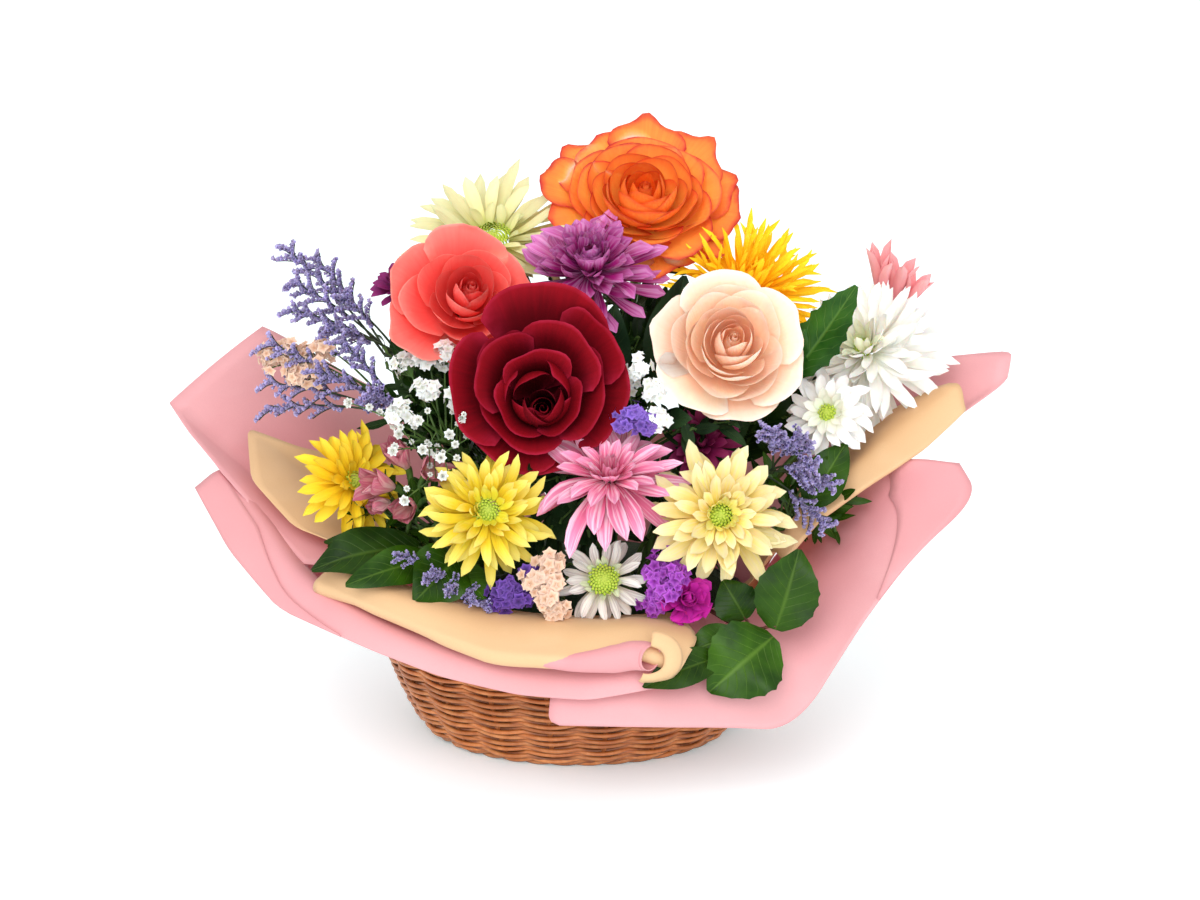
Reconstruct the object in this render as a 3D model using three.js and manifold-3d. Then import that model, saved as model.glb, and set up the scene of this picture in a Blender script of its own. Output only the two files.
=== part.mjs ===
// A flower basket arrangement: a low oval wicker basket packed with floral foam, sheets of pink and
// beige wrapping paper tucked inside its rim, and roses, chrysanthemums, statice, sea lavender,
// baby's breath and leaves standing in the foam. Millimetres, +Z up, origin at the centre of the
// basket's underside, +X to the right and -Y to the front.

import * as THREE from "three";
import Module from "manifold-3d";

const wasm = await Module();
wasm.setup();

// The basket, an oval whose semi-axes are given along X, with its depth as a share of its width.
const BASKET = { height: 86, baseHalf: 84, rimHalf: 113, depthShare: 0.795, wall: 6.5, floor: 7 };
const WEAVE = { stakes: 16, rows: 9, relief: 0.95 };
const LINER = { wall: 1.2, bottom: 7.35, top: 78, inset: 12 };
const FOAM = { top: 97, shoulder: 78, bottom: 9.6, gap: 0.6 };

// Paper and leaves, and the air kept between two pieces that touch.
const PAPER = 0.8;
const LEAF = 0.8;
const PETAL = 0.8;
const AIR = 0.35;

// Corners closer to the surface round them than this are left out once pieces are joined.
const TIDY = 0.02;
const GOLDEN_ANGLE = 2.39996;

const v3 = (x, y, z) => new THREE.Vector3(x, y, z);

// A small seeded random number generator, so that each build is the same.
function dice(seed) {
  let state = seed * 7919 + 13;
  return () => {
    state = (state * 1103515245 + 12345) % 2147483648;
    return state / 2147483648;
  };
}

// Solids: closed triangle pieces, and how they are joined and cut.

// A closed piece from points and faces, turned the right way out.
function piece(points, faces) {
  let volume = 0;
  for (const [a, b, c] of faces) volume += points[a].dot(v3().crossVectors(points[b], points[c]));
  return { points, faces: volume < 0 ? faces.map(([a, b, c]) => [a, c, b]) : faces };
}

function toManifold({ points, faces }, matrix) {
  const placed = matrix ? points.map((p) => p.clone().applyMatrix4(matrix)) : points;
  const vertProperties = new Float32Array(placed.flatMap((p) => [p.x, p.y, p.z]));
  return new wasm.Manifold(
    new wasm.Mesh({ numProp: 3, vertProperties, triVerts: new Uint32Array(faces.flat()) }),
  );
}

// The largest closed body of a solid, with any sealed hollow filled and loose scraps dropped.
function mainBody(solid) {
  const bodies = solid.decompose().filter((b) => b.volume() > 0);
  return bodies.sort((a, b) => b.volume() - a.volume())[0];
}

function join(solids) {
  return solids.length === 1 ? solids[0] : wasm.Manifold.union(solids);
}

// A solid through rings of points, closed flat at the root and with a point or a flat end at the tip.
function loft(rings, tip) {
  const sides = rings[0].length;
  const points = rings.flat();
  const faces = [];
  for (let r = 0; r + 1 < rings.length; r++)
    for (let i = 0; i < sides; i++) {
      const j = (i + 1) % sides;
      const [a, b, c, d] = [r * sides + i, r * sides + j, (r + 1) * sides + j, (r + 1) * sides + i];
      faces.push([a, b, c], [a, c, d]);
    }
  for (let i = 1; i + 1 < sides; i++) faces.push([0, i + 1, i]);
  const last = (rings.length - 1) * sides;
  if (tip) {
    points.push(tip);
    for (let i = 0; i < sides; i++) faces.push([last + i, last + ((i + 1) % sides), points.length - 1]);
  } else for (let i = 1; i + 1 < sides; i++) faces.push([last, last + i, last + i + 1]);
  return piece(points, faces);
}

// A thin sheet of even thickness over a grid of points, widened at its border by grow.
function slab(grid, thickness, grow = 0) {
  const rows = grid.length;
  const columns = grid[0].length;
  const at = (r, c) => grid[Math.min(Math.max(r, 0), rows - 1)][Math.min(Math.max(c, 0), columns - 1)];
  const upper = [];
  const lower = [];
  for (let r = 0; r < rows; r++)
    for (let c = 0; c < columns; c++) {
      const along = at(r + 1, c).clone().sub(at(r - 1, c)).normalize();
      const across = at(r, c + 1).clone().sub(at(r, c - 1)).normalize();
      const normal = v3().crossVectors(across, along).normalize().multiplyScalar(thickness / 2 + grow);
      const p = at(r, c).clone();
      if (r === 0) p.addScaledVector(along, -grow);
      if (r === rows - 1) p.addScaledVector(along, grow);
      if (c === 0) p.addScaledVector(across, -grow);
      if (c === columns - 1) p.addScaledVector(across, grow);
      upper.push(p.clone().add(normal));
      lower.push(p.clone().sub(normal));
    }
  const count = rows * columns;
  const faces = [];
  for (let r = 0; r + 1 < rows; r++)
    for (let c = 0; c + 1 < columns; c++) {
      const [a, b] = [r * columns + c, r * columns + c + 1];
      const [d, e] = [a + columns, b + columns];
      faces.push([a, b, e], [a, e, d], [count + a, count + e, count + b], [count + a, count + d, count + e]);
    }
  const rim = [];
  for (let c = 0; c < columns; c++) rim.push(c);
  for (let r = 1; r < rows; r++) rim.push(r * columns + columns - 1);
  for (let c = columns - 2; c >= 0; c--) rim.push((rows - 1) * columns + c);
  for (let r = rows - 2; r > 0; r--) rim.push(r * columns);
  rim.forEach((p, i) => {
    const q = rim[(i + 1) % rim.length];
    faces.push([q, p, count + p], [q, count + p, count + q]);
  });
  return piece([...upper, ...lower], faces);
}

// A round tube along a list of points, with its own radius at each of them.
function tube(path, radii, sides) {
  const rings = path.map((p, i) => {
    const ahead = path[Math.min(i + 1, path.length - 1)].clone().sub(path[Math.max(i - 1, 0)]).normalize();
    const side = v3().crossVectors(ahead, Math.abs(ahead.y) > 0.9 ? v3(1, 0, 0) : v3(0, 1, 0)).normalize();
    const up = v3().crossVectors(side, ahead);
    return Array.from({ length: sides }, (_, k) => {
      const turn = (2 * Math.PI * k) / sides;
      return p.clone().addScaledVector(side, radii[i] * Math.cos(turn)).addScaledVector(up, radii[i] * Math.sin(turn));
    });
  });
  return loft(rings);
}

// A bump with eight faces, longer along one direction.
function bead(centre, direction, length, width) {
  const along = direction.clone().normalize();
  const side = v3().crossVectors(along, Math.abs(along.z) > 0.9 ? v3(1, 0, 0) : v3(0, 0, 1)).normalize();
  const up = v3().crossVectors(side, along);
  const ring = [side, up, side.clone().negate(), up.clone().negate()];
  const points = [
    ...ring.map((d) => centre.clone().addScaledVector(d, width / 2)),
    centre.clone().addScaledVector(along, length / 2),
    centre.clone().addScaledVector(along, -length / 2),
  ];
  const faces = [0, 1, 2, 3].flatMap((i) => [
    [i, (i + 1) % 4, 4],
    [(i + 1) % 4, i, 5],
  ]);
  return piece(points, faces);
}

// The space round a head as a barrel about its own axis, widened by the air between pieces.
function barrelOf(solid, matrix) {
  const sides = 10;
  const steps = 4;
  const inverse = matrix.clone().invert();
  const mesh = solid.getMesh();
  const points = [];
  for (let i = 0; i < mesh.numVert; i++) {
    const point = v3(...mesh.vertProperties.slice(i * mesh.numProp, i * mesh.numProp + 3));
    points.push(point.applyMatrix4(inverse));
  }
  const low = Math.min(...points.map((p) => p.z)) - AIR;
  const high = Math.max(...points.map((p) => p.z)) + AIR;
  const spacing = (high - low) / steps;
  const rings = Array.from({ length: steps + 1 }, (_, k) => {
    const z = low + spacing * k;
    const near = points.filter((p) => Math.abs(p.z - z) <= spacing + 1e-6);
    const reach = Math.max(...near.map((p) => Math.hypot(p.x, p.y)));
    return ringAt((reach + AIR) / Math.cos(Math.PI / sides), z, sides);
  });
  return toManifold(loft(rings), matrix);
}

// A matrix that stands a head's own +Z along its facing, turned by roll, with its foot at a point.
function stand(foot, facing, roll) {
  const turn = new THREE.Quaternion().setFromUnitVectors(v3(0, 0, 1), facing.clone().normalize());
  turn.multiply(new THREE.Quaternion().setFromAxisAngle(v3(0, 0, 1), roll));
  return new THREE.Matrix4().compose(foot, turn, v3(1, 1, 1));
}

// The basket, its liner and its foam.

const ellipse = (half, angle, z) => v3(half * Math.cos(angle), half * BASKET.depthShare * Math.sin(angle), z);

// The basket's outer semi-axis at a height: a rounded foot, then a flare that grows steeper.
function basketHalf(z) {
  const t = z / BASKET.height;
  const flare = BASKET.baseHalf + (BASKET.rimHalf - BASKET.baseHalf) * Math.sin((t * Math.PI) / 2) ** 0.9;
  return flare - 5 * Math.max(0, 1 - z / 7) ** 2;
}

// A bowl lofted from an outer profile down the outside, over the rim and down the inside.
function bowl(profile, sides) {
  const rings = profile.map(([half, z, wave]) =>
    Array.from({ length: sides }, (_, i) => {
      const angle = (2 * Math.PI * i) / sides;
      return ellipse(half + (wave ? wave(angle) : 0), angle, z);
    }),
  );
  return loft(rings);
}

// Woven rows stand out as relief: each row passes in front of every second stake.
function basket() {
  const rowHeight = (BASKET.height - 6) / WEAVE.rows;
  const outside = [[basketHalf(0) - 1, 0]];
  for (let row = 0; row < WEAVE.rows; row++) {
    const side = row % 2 ? 1 : -1;
    const wave = (angle) => WEAVE.relief * side * Math.cos((WEAVE.stakes / 2) * angle * 2);
    const middle = 3 + (row + 0.5) * rowHeight;
    outside.push([basketHalf(middle) - 0.1, middle, wave]);
    if (row + 1 < WEAVE.rows) outside.push([basketHalf(middle + rowHeight / 2) - 1.4, middle + rowHeight / 2]);
  }
  const inside = [
    [BASKET.rimHalf + 1.5, BASKET.height - 3],
    [BASKET.rimHalf - 2, BASKET.height],
    [BASKET.rimHalf - BASKET.wall, BASKET.height - 3],
    [BASKET.rimHalf - BASKET.wall, 62],
    [basketHalf(30) - BASKET.wall, 30],
    [basketHalf(BASKET.floor) - BASKET.wall - 3, BASKET.floor],
  ];
  return bowl([...outside, ...inside], 2 * WEAVE.stakes);
}

// The basket's inner semi-axis at a height, for what lies inside it.
function insideHalf(z) {
  if (z >= 62) return BASKET.rimHalf - BASKET.wall;
  const [low, high] = z < 30 ? [BASKET.floor, 30] : [30, 62];
  const halfAt = { [BASKET.floor]: basketHalf(BASKET.floor) - BASKET.wall - 3, 30: basketHalf(30) - BASKET.wall, 62: BASKET.rimHalf - BASKET.wall };
  return halfAt[low] + ((halfAt[high] - halfAt[low]) * (z - low)) / (high - low);
}

function liner() {
  const outer = (z) => insideHalf(z) - LINER.inset;
  const heights = [30, 62, LINER.top];
  return bowl(
    [
      [outer(LINER.bottom) - 2, LINER.bottom],
      ...heights.map((z) => [outer(z), z]),
      ...heights.toReversed().map((z) => [outer(z) - LINER.wall, z + (z === LINER.top ? 0.01 : 0)]),
      [outer(LINER.bottom) - 2 - LINER.wall, LINER.bottom + LINER.wall],
    ],
    20,
  );
}

function foam() {
  const edge = (z) => insideHalf(z) - LINER.inset - LINER.wall - FOAM.gap;
  return bowl(
    [
      [edge(LINER.bottom) - 2.4, FOAM.bottom],
      [edge(30), 30],
      [edge(62), 62],
      [edge(FOAM.shoulder), FOAM.shoulder],
      [edge(FOAM.shoulder) * 0.72, FOAM.top - 5],
      [edge(FOAM.shoulder) * 0.3, FOAM.top],
    ],
    20,
  );
}

// Paper sheets: each is a net of points from its root inside the rim out to its free edge.

// A sheet stands straight up to the rim, then curves outward. Across its columns it curves too, but
// its free edge runs from corner to corner almost straight.
const EDGE_FIRMNESS = 0.85;
function sheetGrid(net, steps, stations) {
  const curve = (points) => new THREE.CatmullRomCurve3(points, false, "centripetal");
  const outward = net.map((column) => curve(column.map((p) => v3(...p))));
  const last = net[0].length - 1;
  const columns = (net.length - 1) * steps;
  return stations.map((station) => {
    const crossing = outward.map((line) => (station <= 1 ? line.points[0].clone().lerp(line.points[1], station) : line.getPoint(station / last)));
    const across = curve(crossing);
    const firm = EDGE_FIRMNESS * (station / last) ** 2;
    return Array.from({ length: columns + 1 }, (_, c) => {
      const [before, share] = [Math.min(Math.floor(c / steps), net.length - 2), c / steps];
      const straight = crossing[before].clone().lerp(crossing[before + 1], share - before);
      return across.getPoint(c / columns).lerp(straight, firm);
    });
  });
}

// A sheet stands in its own layer of the gap between the wall and the liner, 0 next to the wall.
// Each column has its bearing round the rim in degrees, then the points it passes on its way out.
const ROOT = { outermost: 104, layerGap: 2.3, low: 66, high: 88 };
const SHEETS = [
  { name: "paper_pink_back_left", tone: "pink", layer: 2, columns: [
    [96, [-24, 97, 112], [-40, 106, 134]],
    [128, [-95, 88, 128], [-124, 98, 172]],
    [150, [-133, 62, 140], [-180, 70, 213]],
    [175, [-165, 28, 124], [-230, 40, 176]],
    [200, [-134, -14, 117], [-184, -8, 143]],
    [220, [-104, -51, 105], [-142, -49, 118]],
  ] },
  { name: "paper_pink_front_right", tone: "pink", layer: 0, columns: [
    [269, [-8, -105, 80], [-13, -128, 68], [-15, -135, 51]],
    [285, [34, -106, 80], [38, -126, 66], [40, -133, 49]],
    [302, [66, -96, 83], [76, -118, 71], [80, -128, 47]],
    [317, [96, -80, 88], [112, -104, 72], [114, -121, 43]],
    [332, [115, -62, 98], [134, -84, 96], [144, -101, 87]],
    [345, [130, -44, 114], [155, -67, 124], [177, -83, 127]],
    [355, [140, -30, 127], [174, -51, 147], [213, -61, 151]],
    [362, [140, -20, 130], [172, -40, 157], [204, -49, 162]],
  ] },
  { name: "paper_pink_front_left", tone: "pink", layer: 1, columns: [
    [190, [-152, 6, 104], [-194, 8, 146], [-211, -4, 139]],
    [210, [-142, -30, 97], [-172, -30, 130], [-188, -42, 115]],
    [228, [-112, -66, 89], [-148, -68, 111], [-158, -79, 95]],
    [246, [-72, -90, 88], [-98, -109, 93], [-106, -114, 84]],
    [260, [-40, -103, 89], [-62, -124, 84], [-70, -128, 75]],
    [272, [-8, -106, 89], [-24, -130, 77], [-30, -136, 68]],
    [282, [18, -107, 89], [10, -132, 76], [6, -138, 66]],
    [291, [40, -105, 89], [42, -130, 80], [43, -136, 72]],
  ] },
  { name: "paper_pink_back_right", tone: "pink", layer: 1, columns: [
    [-6, [142, -6, 142], [184, -19, 168]],
    [9, [160, 10, 150], [235, 5, 198]],
    [22, [158, 30, 164], [238, 12, 213]],
    [41, [135, 60, 160], [193, 35, 203]],
    [62, [88, 92, 140], [128, 86, 178]],
    [90, [12, 100, 118], [24, 108, 140]],
  ] },
  { name: "paper_beige_left", tone: "beige", layer: 3, columns: [
    [150, [-108, 42, 116], [-126, 38, 144]],
    [168, [-128, 20, 121], [-156, 27, 154]],
    [186, [-136, 6, 129], [-184, 23, 166]],
    [203, [-120, -20, 123], [-178, -18, 149]],
    [217, [-98, -42, 112], [-152, -46, 130]],
    [230, [-84, -57, 108], [-112, -60, 120]],
  ] },
  { name: "paper_beige_front", tone: "beige", layer: 2, columns: [
    [226, [-96, -66, 104], [-131, -75, 115], [-137, -80, 112]],
    [236, [-86, -80, 107], [-118, -89, 117], [-114, -101, 108]],
    [248, [-62, -92, 104], [-82, -110, 110], [-76, -124, 100]],
    [262, [-30, -100, 100], [-45, -119, 101], [-42, -137, 90]],
    [277, [5, -103, 97], [0, -124, 97], [2, -143, 86]],
    [289, [32, -101, 96], [34, -123, 96], [36, -142, 88]],
    [299, [55, -92, 94], [64, -118, 86], [52, -140, 76]],
  ] },
  { name: "paper_beige_right", tone: "beige", layer: 2, columns: [
    [320, [92, -62, 104], [104, -70, 124], [108, -76, 122]],
    [333, [108, -46, 118], [124, -54, 148], [129, -63, 142]],
    [346, [124, -28, 134], [150, -41, 165], [156, -52, 158]],
    [360, [134, -8, 146], [170, -31, 180], [184, -40, 173]],
    [373, [140, 10, 154], [205, -16, 202], [209, -24, 191]],
  ] },
];

function sheetNet({ layer, columns }) {
  const half = ROOT.outermost - ROOT.layerGap * layer;
  return columns.map(([bearing, ...outward]) => {
    const angle = (bearing * Math.PI) / 180;
    const roots = [ROOT.low, ROOT.high].map((z) => ellipse(half, angle, z).toArray());
    return [...roots, ...outward];
  });
}

const SHEET_STEPS = 2;
const SHEET_STATIONS = { 4: [0, 1, 1.5, 2, 2.5, 3], 5: [0, 1, 1.5, 2, 3, 4] };

// Leaves: a folded, arched blade with a waved outline, drawn out into its stalk back to the fork.

function leafGrid(fork, base, tip, width, face, arch, notch) {
  const along = tip.clone().sub(base);
  const length = along.length();
  along.normalize();
  const across = v3().crossVectors(along, face).normalize();
  const up = v3().crossVectors(across, along).normalize();
  const row = (middle, half) =>
    [-1, 0, 1].map((side) =>
      middle.clone().addScaledVector(across, side * half).addScaledVector(up, Math.abs(side) * half * 0.22),
    );
  const rows = 3;
  const blade = Array.from({ length: rows + 1 }, (_, r) => {
    const t = r / rows;
    const wave = r % 2 ? 1 + notch : 1 - notch;
    const half = (width / 2) * Math.sin(Math.PI * (0.06 + 0.92 * t) ** 0.85) * wave;
    const middle = base.clone().addScaledVector(along, t * length).addScaledVector(up, arch * Math.sin(Math.PI * t));
    return row(middle, Math.max(0.6, half));
  });
  return [row(fork, 0.8), row(fork.clone().lerp(base, 0.8), 0.8), ...blade.slice(1)];
}

// Flower heads, each in its own frame: +Z is where it faces, and its stem meets it at the origin.

// Rose petals wrap the heart in a spiral, each one wider and more open than the last. Their feet
// stand side by side in a shallow dish, so that only the dish joins them.
function roseHead({ radius, height, petals }) {
  const sides = 8;
  const dish = [ringAt(radius * 0.22, 0, sides), ringAt(radius * 0.46, height * 0.2, sides)];
  const heart = [ringAt(radius * 0.1, height * 0.15, 5), ringAt(radius * 0.15, height * 0.6, 5)];
  const pieces = [loft(dish, v3(0, 0, height * 0.24)), loft(heart, v3(0, 0, height * 0.95))];
  for (let i = 0; i < petals; i++) {
    const s = (i + 1) / petals;
    const heading = i * GOLDEN_ANGLE;
    const foot = radius * (0.14 + 0.26 * s);
    const belly = radius * (0.24 + 0.52 * s);
    const lip = radius * (0.2 + 0.8 * s ** 1.2);
    const top = height * (1 - 0.34 * s ** 2);
    const span = 1.35 - 0.45 * s;
    const across = s < 0.45 ? [-1, 0, 1] : [-1, -0.35, 0.35, 1];
    const grid = [0, 0.55, 1].map((t) =>
      across.map((a) => {
        const reach = foot * (1 - t) ** 2 + 2.1 * belly * t * (1 - t) + lip * t * t;
        const rise = height * 0.14 + (top - height * 0.14) * t ** 0.85 * (1 - 0.14 * a * a);
        const angle = heading + a * span * (0.5 + 0.75 * t - 0.3 * t * t);
        return v3(reach * Math.cos(angle), reach * Math.sin(angle), rise);
      }),
    );
    pieces.push(slab(grid, PETAL));
  }
  return pieces;
}

function ringAt(radius, z, sides, turn = 0) {
  return Array.from({ length: sides }, (_, i) => {
    const angle = (2 * Math.PI * (i + turn)) / sides;
    return v3(radius * Math.cos(angle), radius * Math.sin(angle), z);
  });
}

// Chrysanthemums: a domed core whose bands of faces are each drawn out into a strap petal.
function rayHead({ radius, core, petals, whorls, seed }) {
  const random = dice(seed);
  const bands = whorls.length + 1;
  const rings = Array.from({ length: bands }, (_, k) => {
    const lift = 0.1 + (1.15 * k) / bands;
    return ringAt(core * Math.cos(lift), core * Math.sin(lift), petals, k / 2);
  });
  const points = [...ringAt(core * 0.7, 0, petals), ...rings.flat(), v3(0, 0, core * 1.02)];
  const top = points.length - 1;
  const faces = [];
  for (let i = 1; i + 1 < petals; i++) faces.push([0, i + 1, i]);
  for (let k = 0; k <= bands; k++)
    for (let i = 0; i < petals; i++) {
      const j = (i + 1) % petals;
      const [a, b, c, d] = [k * petals + i, k * petals + j, (k + 1) * petals + j, (k + 1) * petals + i];
      if (k === bands) faces.push([a, b, top]);
      else if (k === 0) faces.push([a, b, c], [a, c, d]);
      else strap(points, faces, [a, b, c, d], whorls[k - 1], radius, random);
    }
  return [piece(points, faces)];
}

// Draws one face out into a petal: a strap widens to its belly, and one of no width is a quill.
function strap(points, faces, root, { reach, lift, width, curl }, radius, random) {
  const centre = root.reduce((sum, i) => sum.add(points[i]), v3()).divideScalar(4);
  const heading = Math.atan2(centre.y, centre.x) + 0.08 * (random() - 0.5);
  const out = v3(Math.cos(heading), Math.sin(heading), 0);
  const side = v3(-Math.sin(heading), Math.cos(heading), 0);
  const aim = (angle) => out.clone().multiplyScalar(Math.cos(angle)).add(v3(0, 0, Math.sin(angle)));
  const length = radius * reach * (0.94 + 0.12 * random()) - centre.clone().setZ(0).length();
  const rise = lift + 0.08 * (random() - 0.5);
  const belly = centre.clone().addScaledVector(aim(rise), length * 0.62);
  const tip = belly.clone().addScaledVector(aim(rise - curl), length * 0.38);
  const up = aim(rise + Math.PI / 2);
  const first = points.length;
  if (!width) {
    points.push(tip);
    for (let i = 0; i < 4; i++) faces.push([root[i], root[(i + 1) % 4], first]);
    return;
  }
  for (const [x, z] of [[-1, -1], [1, -1], [1, 1], [-1, 1]])
    points.push(belly.clone().addScaledVector(side, (x * width) / 2).addScaledVector(up, (z * PETAL) / 2));
  points.push(tip);
  for (let i = 0; i < 4; i++) {
    const j = (i + 1) % 4;
    faces.push([root[i], root[j], first + j], [root[i], first + j, first + i], [first + i, first + j, first + 4]);
  }
}

const MUM_WHORLS = {
  open: { petals: 11, whorls: [
    { reach: 1, lift: 0.06, width: 9, curl: 0.45 },
    { reach: 0.84, lift: 0.42, width: 7.5, curl: 0.25 },
    { reach: 0.5, lift: 0.95, width: 0, curl: 0 },
  ] },
  hanging: { petals: 11, whorls: [
    { reach: 1, lift: -0.1, width: 8, curl: 0.9 },
    { reach: 0.82, lift: 0.3, width: 7, curl: 0.5 },
    { reach: 0.5, lift: 0.95, width: 0, curl: 0 },
  ] },
  daisy: { petals: 13, whorls: [
    { reach: 1, lift: 0.1, width: 8, curl: 0.2 },
    { reach: 0.86, lift: 0.45, width: 7.5, curl: 0.1 },
  ] },
  dense: { petals: 10, whorls: [
    { reach: 1, lift: 0.02, width: 9.5, curl: 0.35 },
    { reach: 0.9, lift: 0.45, width: 8.5, curl: -0.15 },
    { reach: 0.66, lift: 0.95, width: 0, curl: -0.2 },
  ] },
  spider: { petals: 14, whorls: [
    { reach: 0.95, lift: -0.1, width: 0, curl: 0.2 },
    { reach: 1, lift: 0.15, width: 0, curl: 0.2 },
    { reach: 0.92, lift: 0.45, width: 0, curl: -0.15 },
    { reach: 0.8, lift: 0.8, width: 0, curl: -0.15 },
    { reach: 0.5, lift: 1.1, width: 0, curl: -0.3 },
  ] },
  small: { petals: 8, whorls: [
    { reach: 1, lift: 0.12, width: 6.5, curl: 0.3 },
    { reach: 0.7, lift: 0.6, width: 0, curl: 0 },
  ] },
  bud: { petals: 6, whorls: [{ reach: 0.75, lift: 1.05, width: 7, curl: 0.25 }] },
};

// Where each bloom's face is, which way it faces, its radius and depth, and how it is made.
const BLOOMS = [
  { name: "rose_red", at: [-21, -72, 217], facing: [0.02, -0.92, 0.38], radius: 47, height: 44, petals: 9, roll: 1.9 },
  { name: "rose_blush", at: [80, -58, 234], facing: [0.05, -0.86, 0.5], radius: 42, height: 46, petals: 11, roll: 0.4 },
  { name: "mum_cream_yellow", at: [75, -95, 152], facing: [0.1, -0.9, 0.35], radius: 40, core: 10, whorls: "open", seed: 3 },
  { name: "mum_yellow", at: [-46, -98, 156], facing: [0.1, -0.85, 0.45], radius: 38, core: 10, whorls: "open", seed: 4 },
  { name: "mum_pink", at: [17, -93, 176], facing: [0, -0.5, 0.86], radius: 46, core: 9, whorls: "hanging", seed: 5 },
  { name: "rose_coral", at: [-62, -26, 253], facing: [0.1, -0.8, 0.55], radius: 37, height: 38, petals: 10, roll: 2.6 },
  { name: "rose_orange", at: [36, 30, 299], facing: [0.05, -0.62, 0.78], radius: 52, height: 42, petals: 11, roll: 1.2 },
  { name: "mum_purple", at: [7, -16, 268], facing: [0, -0.6, 0.8], radius: 38, core: 12, whorls: "dense", seed: 6 },
  { name: "mum_cream", at: [-48, 30, 277], facing: [-0.1, -0.5, 0.86], radius: 48, core: 11, whorls: "daisy", seed: 7 },
  { name: "mum_spider", at: [87, 14, 253], facing: [0.3, -0.5, 0.8], radius: 45, core: 10, whorls: "spider", seed: 8 },
  { name: "mum_white", at: [155, 0, 219], facing: [-0.3, -0.65, 0.6], radius: 48, core: 13, whorls: "dense", seed: 9 },
];

// Small blooms are one piece with their stem.
const SMALL_BLOOMS = [
  { name: "mum_white_small", at: [133, -42, 193], facing: [-0.2, -0.85, 0.4], radius: 24, core: 7, whorls: "small", seed: 11 },
  { name: "mum_yellow_left", at: [-117, -50, 158], facing: [0.45, -0.7, 0.5], radius: 34, core: 8, whorls: "small", seed: 12 },
  { name: "mum_white_green", at: [14, -102, 119], facing: [0, -0.9, 0.4], radius: 21, core: 7, whorls: "small", seed: 13 },
  { name: "carnation_magenta", at: [57, -101, 108], facing: [0.2, -0.9, 0.4], radius: 15, core: 7, whorls: "small", seed: 14 },
  { name: "mum_magenta_left", at: [-98, 16, 249], facing: [-0.3, -0.5, 0.8], radius: 17, core: 6, whorls: "small", seed: 15 },
  { name: "mum_magenta_right", at: [66, -48, 178], facing: [0, -0.8, 0.6], radius: 22, core: 7, whorls: "small", seed: 16 },
  { name: "alstroemeria_pink", at: [-93, -62, 163], facing: [0, -0.8, 0.6], radius: 25, core: 4, whorls: "bud", seed: 17 },
  { name: "nerine_pink", at: [177, 44, 240], facing: [0.2, -0.1, 0.95], radius: 30, core: 4, whorls: "bud", seed: 18 },
];

// Sprays: branches part at a fork and each ends in florets; rows carry them along the branch.
const SPRAYS = [
  { name: "limonium_left_high", kind: "row", fork: [-106, 8, 212], tips: [[-158, -5, 274], [-141, 0, 267], [-152, -15, 257], [-153, -20, 243], [-126, -8, 247], [-133, -20, 233]] },
  { name: "limonium_left_low", kind: "row", fork: [-100, -18, 184], tips: [[-165, -25, 226], [-168, -20, 203], [-168, -15, 187], [-124, -30, 227], [-138, -35, 213], [-109, -45, 203]] },
  { name: "limonium_right", kind: "row", fork: [104, -56, 164], tips: [[102, -84, 192], [116, -80, 188], [121, -84, 175], [130, -76, 164], [130, -78, 142]] },
  { name: "limonium_front", kind: "row", fork: [-62, -84, 114], tips: [[-94, -106, 134], [-78, -112, 124], [-66, -114, 117], [-54, -114, 112], [-46, -112, 106]] },
  { name: "statice_white_left", kind: "crowns", fork: [-74, -40, 177], tips: [[-93, -25, 216], [-80, -30, 221], [-71, -33, 224], [-81, -50, 207], [-96, -50, 195], [-63, -50, 205]] },
  { name: "statice_white_mid", kind: "crowns", fork: [30, -30, 192], tips: [[32, -66, 224], [40, -72, 212], [43, -82, 201], [27, -52, 212]] },
  { name: "statice_purple_mid", kind: "crowns", fork: [26, -44, 206], tips: [[22, -82, 205], [28, -80, 210], [34, -80, 204]] },
  { name: "statice_purple_front", kind: "crowns", fork: [40, -84, 104], tips: [[49, -92, 126], [43, -98, 122], [42, -92, 114], [41, -98, 107]] },
  { name: "statice_purple_left", kind: "crowns", fork: [-32, -84, 104], tips: [[-36, -108, 117], [-30, -110, 112], [-41, -108, 110], [-24, -106, 122]] },
  { name: "statice_peach_left", kind: "crowns", fork: [-114, 2, 190], tips: [[-168, -10, 218], [-158, -5, 221], [-148, 0, 219], [-137, 0, 223], [-153, -10, 209]] },
  { name: "statice_peach_front", kind: "crowns", fork: [-10, -84, 102], tips: [[-15, -104, 130], [-13, -110, 121], [-17, -114, 113], [-12, -113, 106], [-23, -110, 121]] },
  { name: "gypsophila", kind: "dots", fork: [-70, -46, 170], tips: [[-84, -76, 198], [-93, -74, 190], [-66, -86, 193], [-70, -98, 184], [-60, -80, 200], [-80, -86, 185]] },
];

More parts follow.
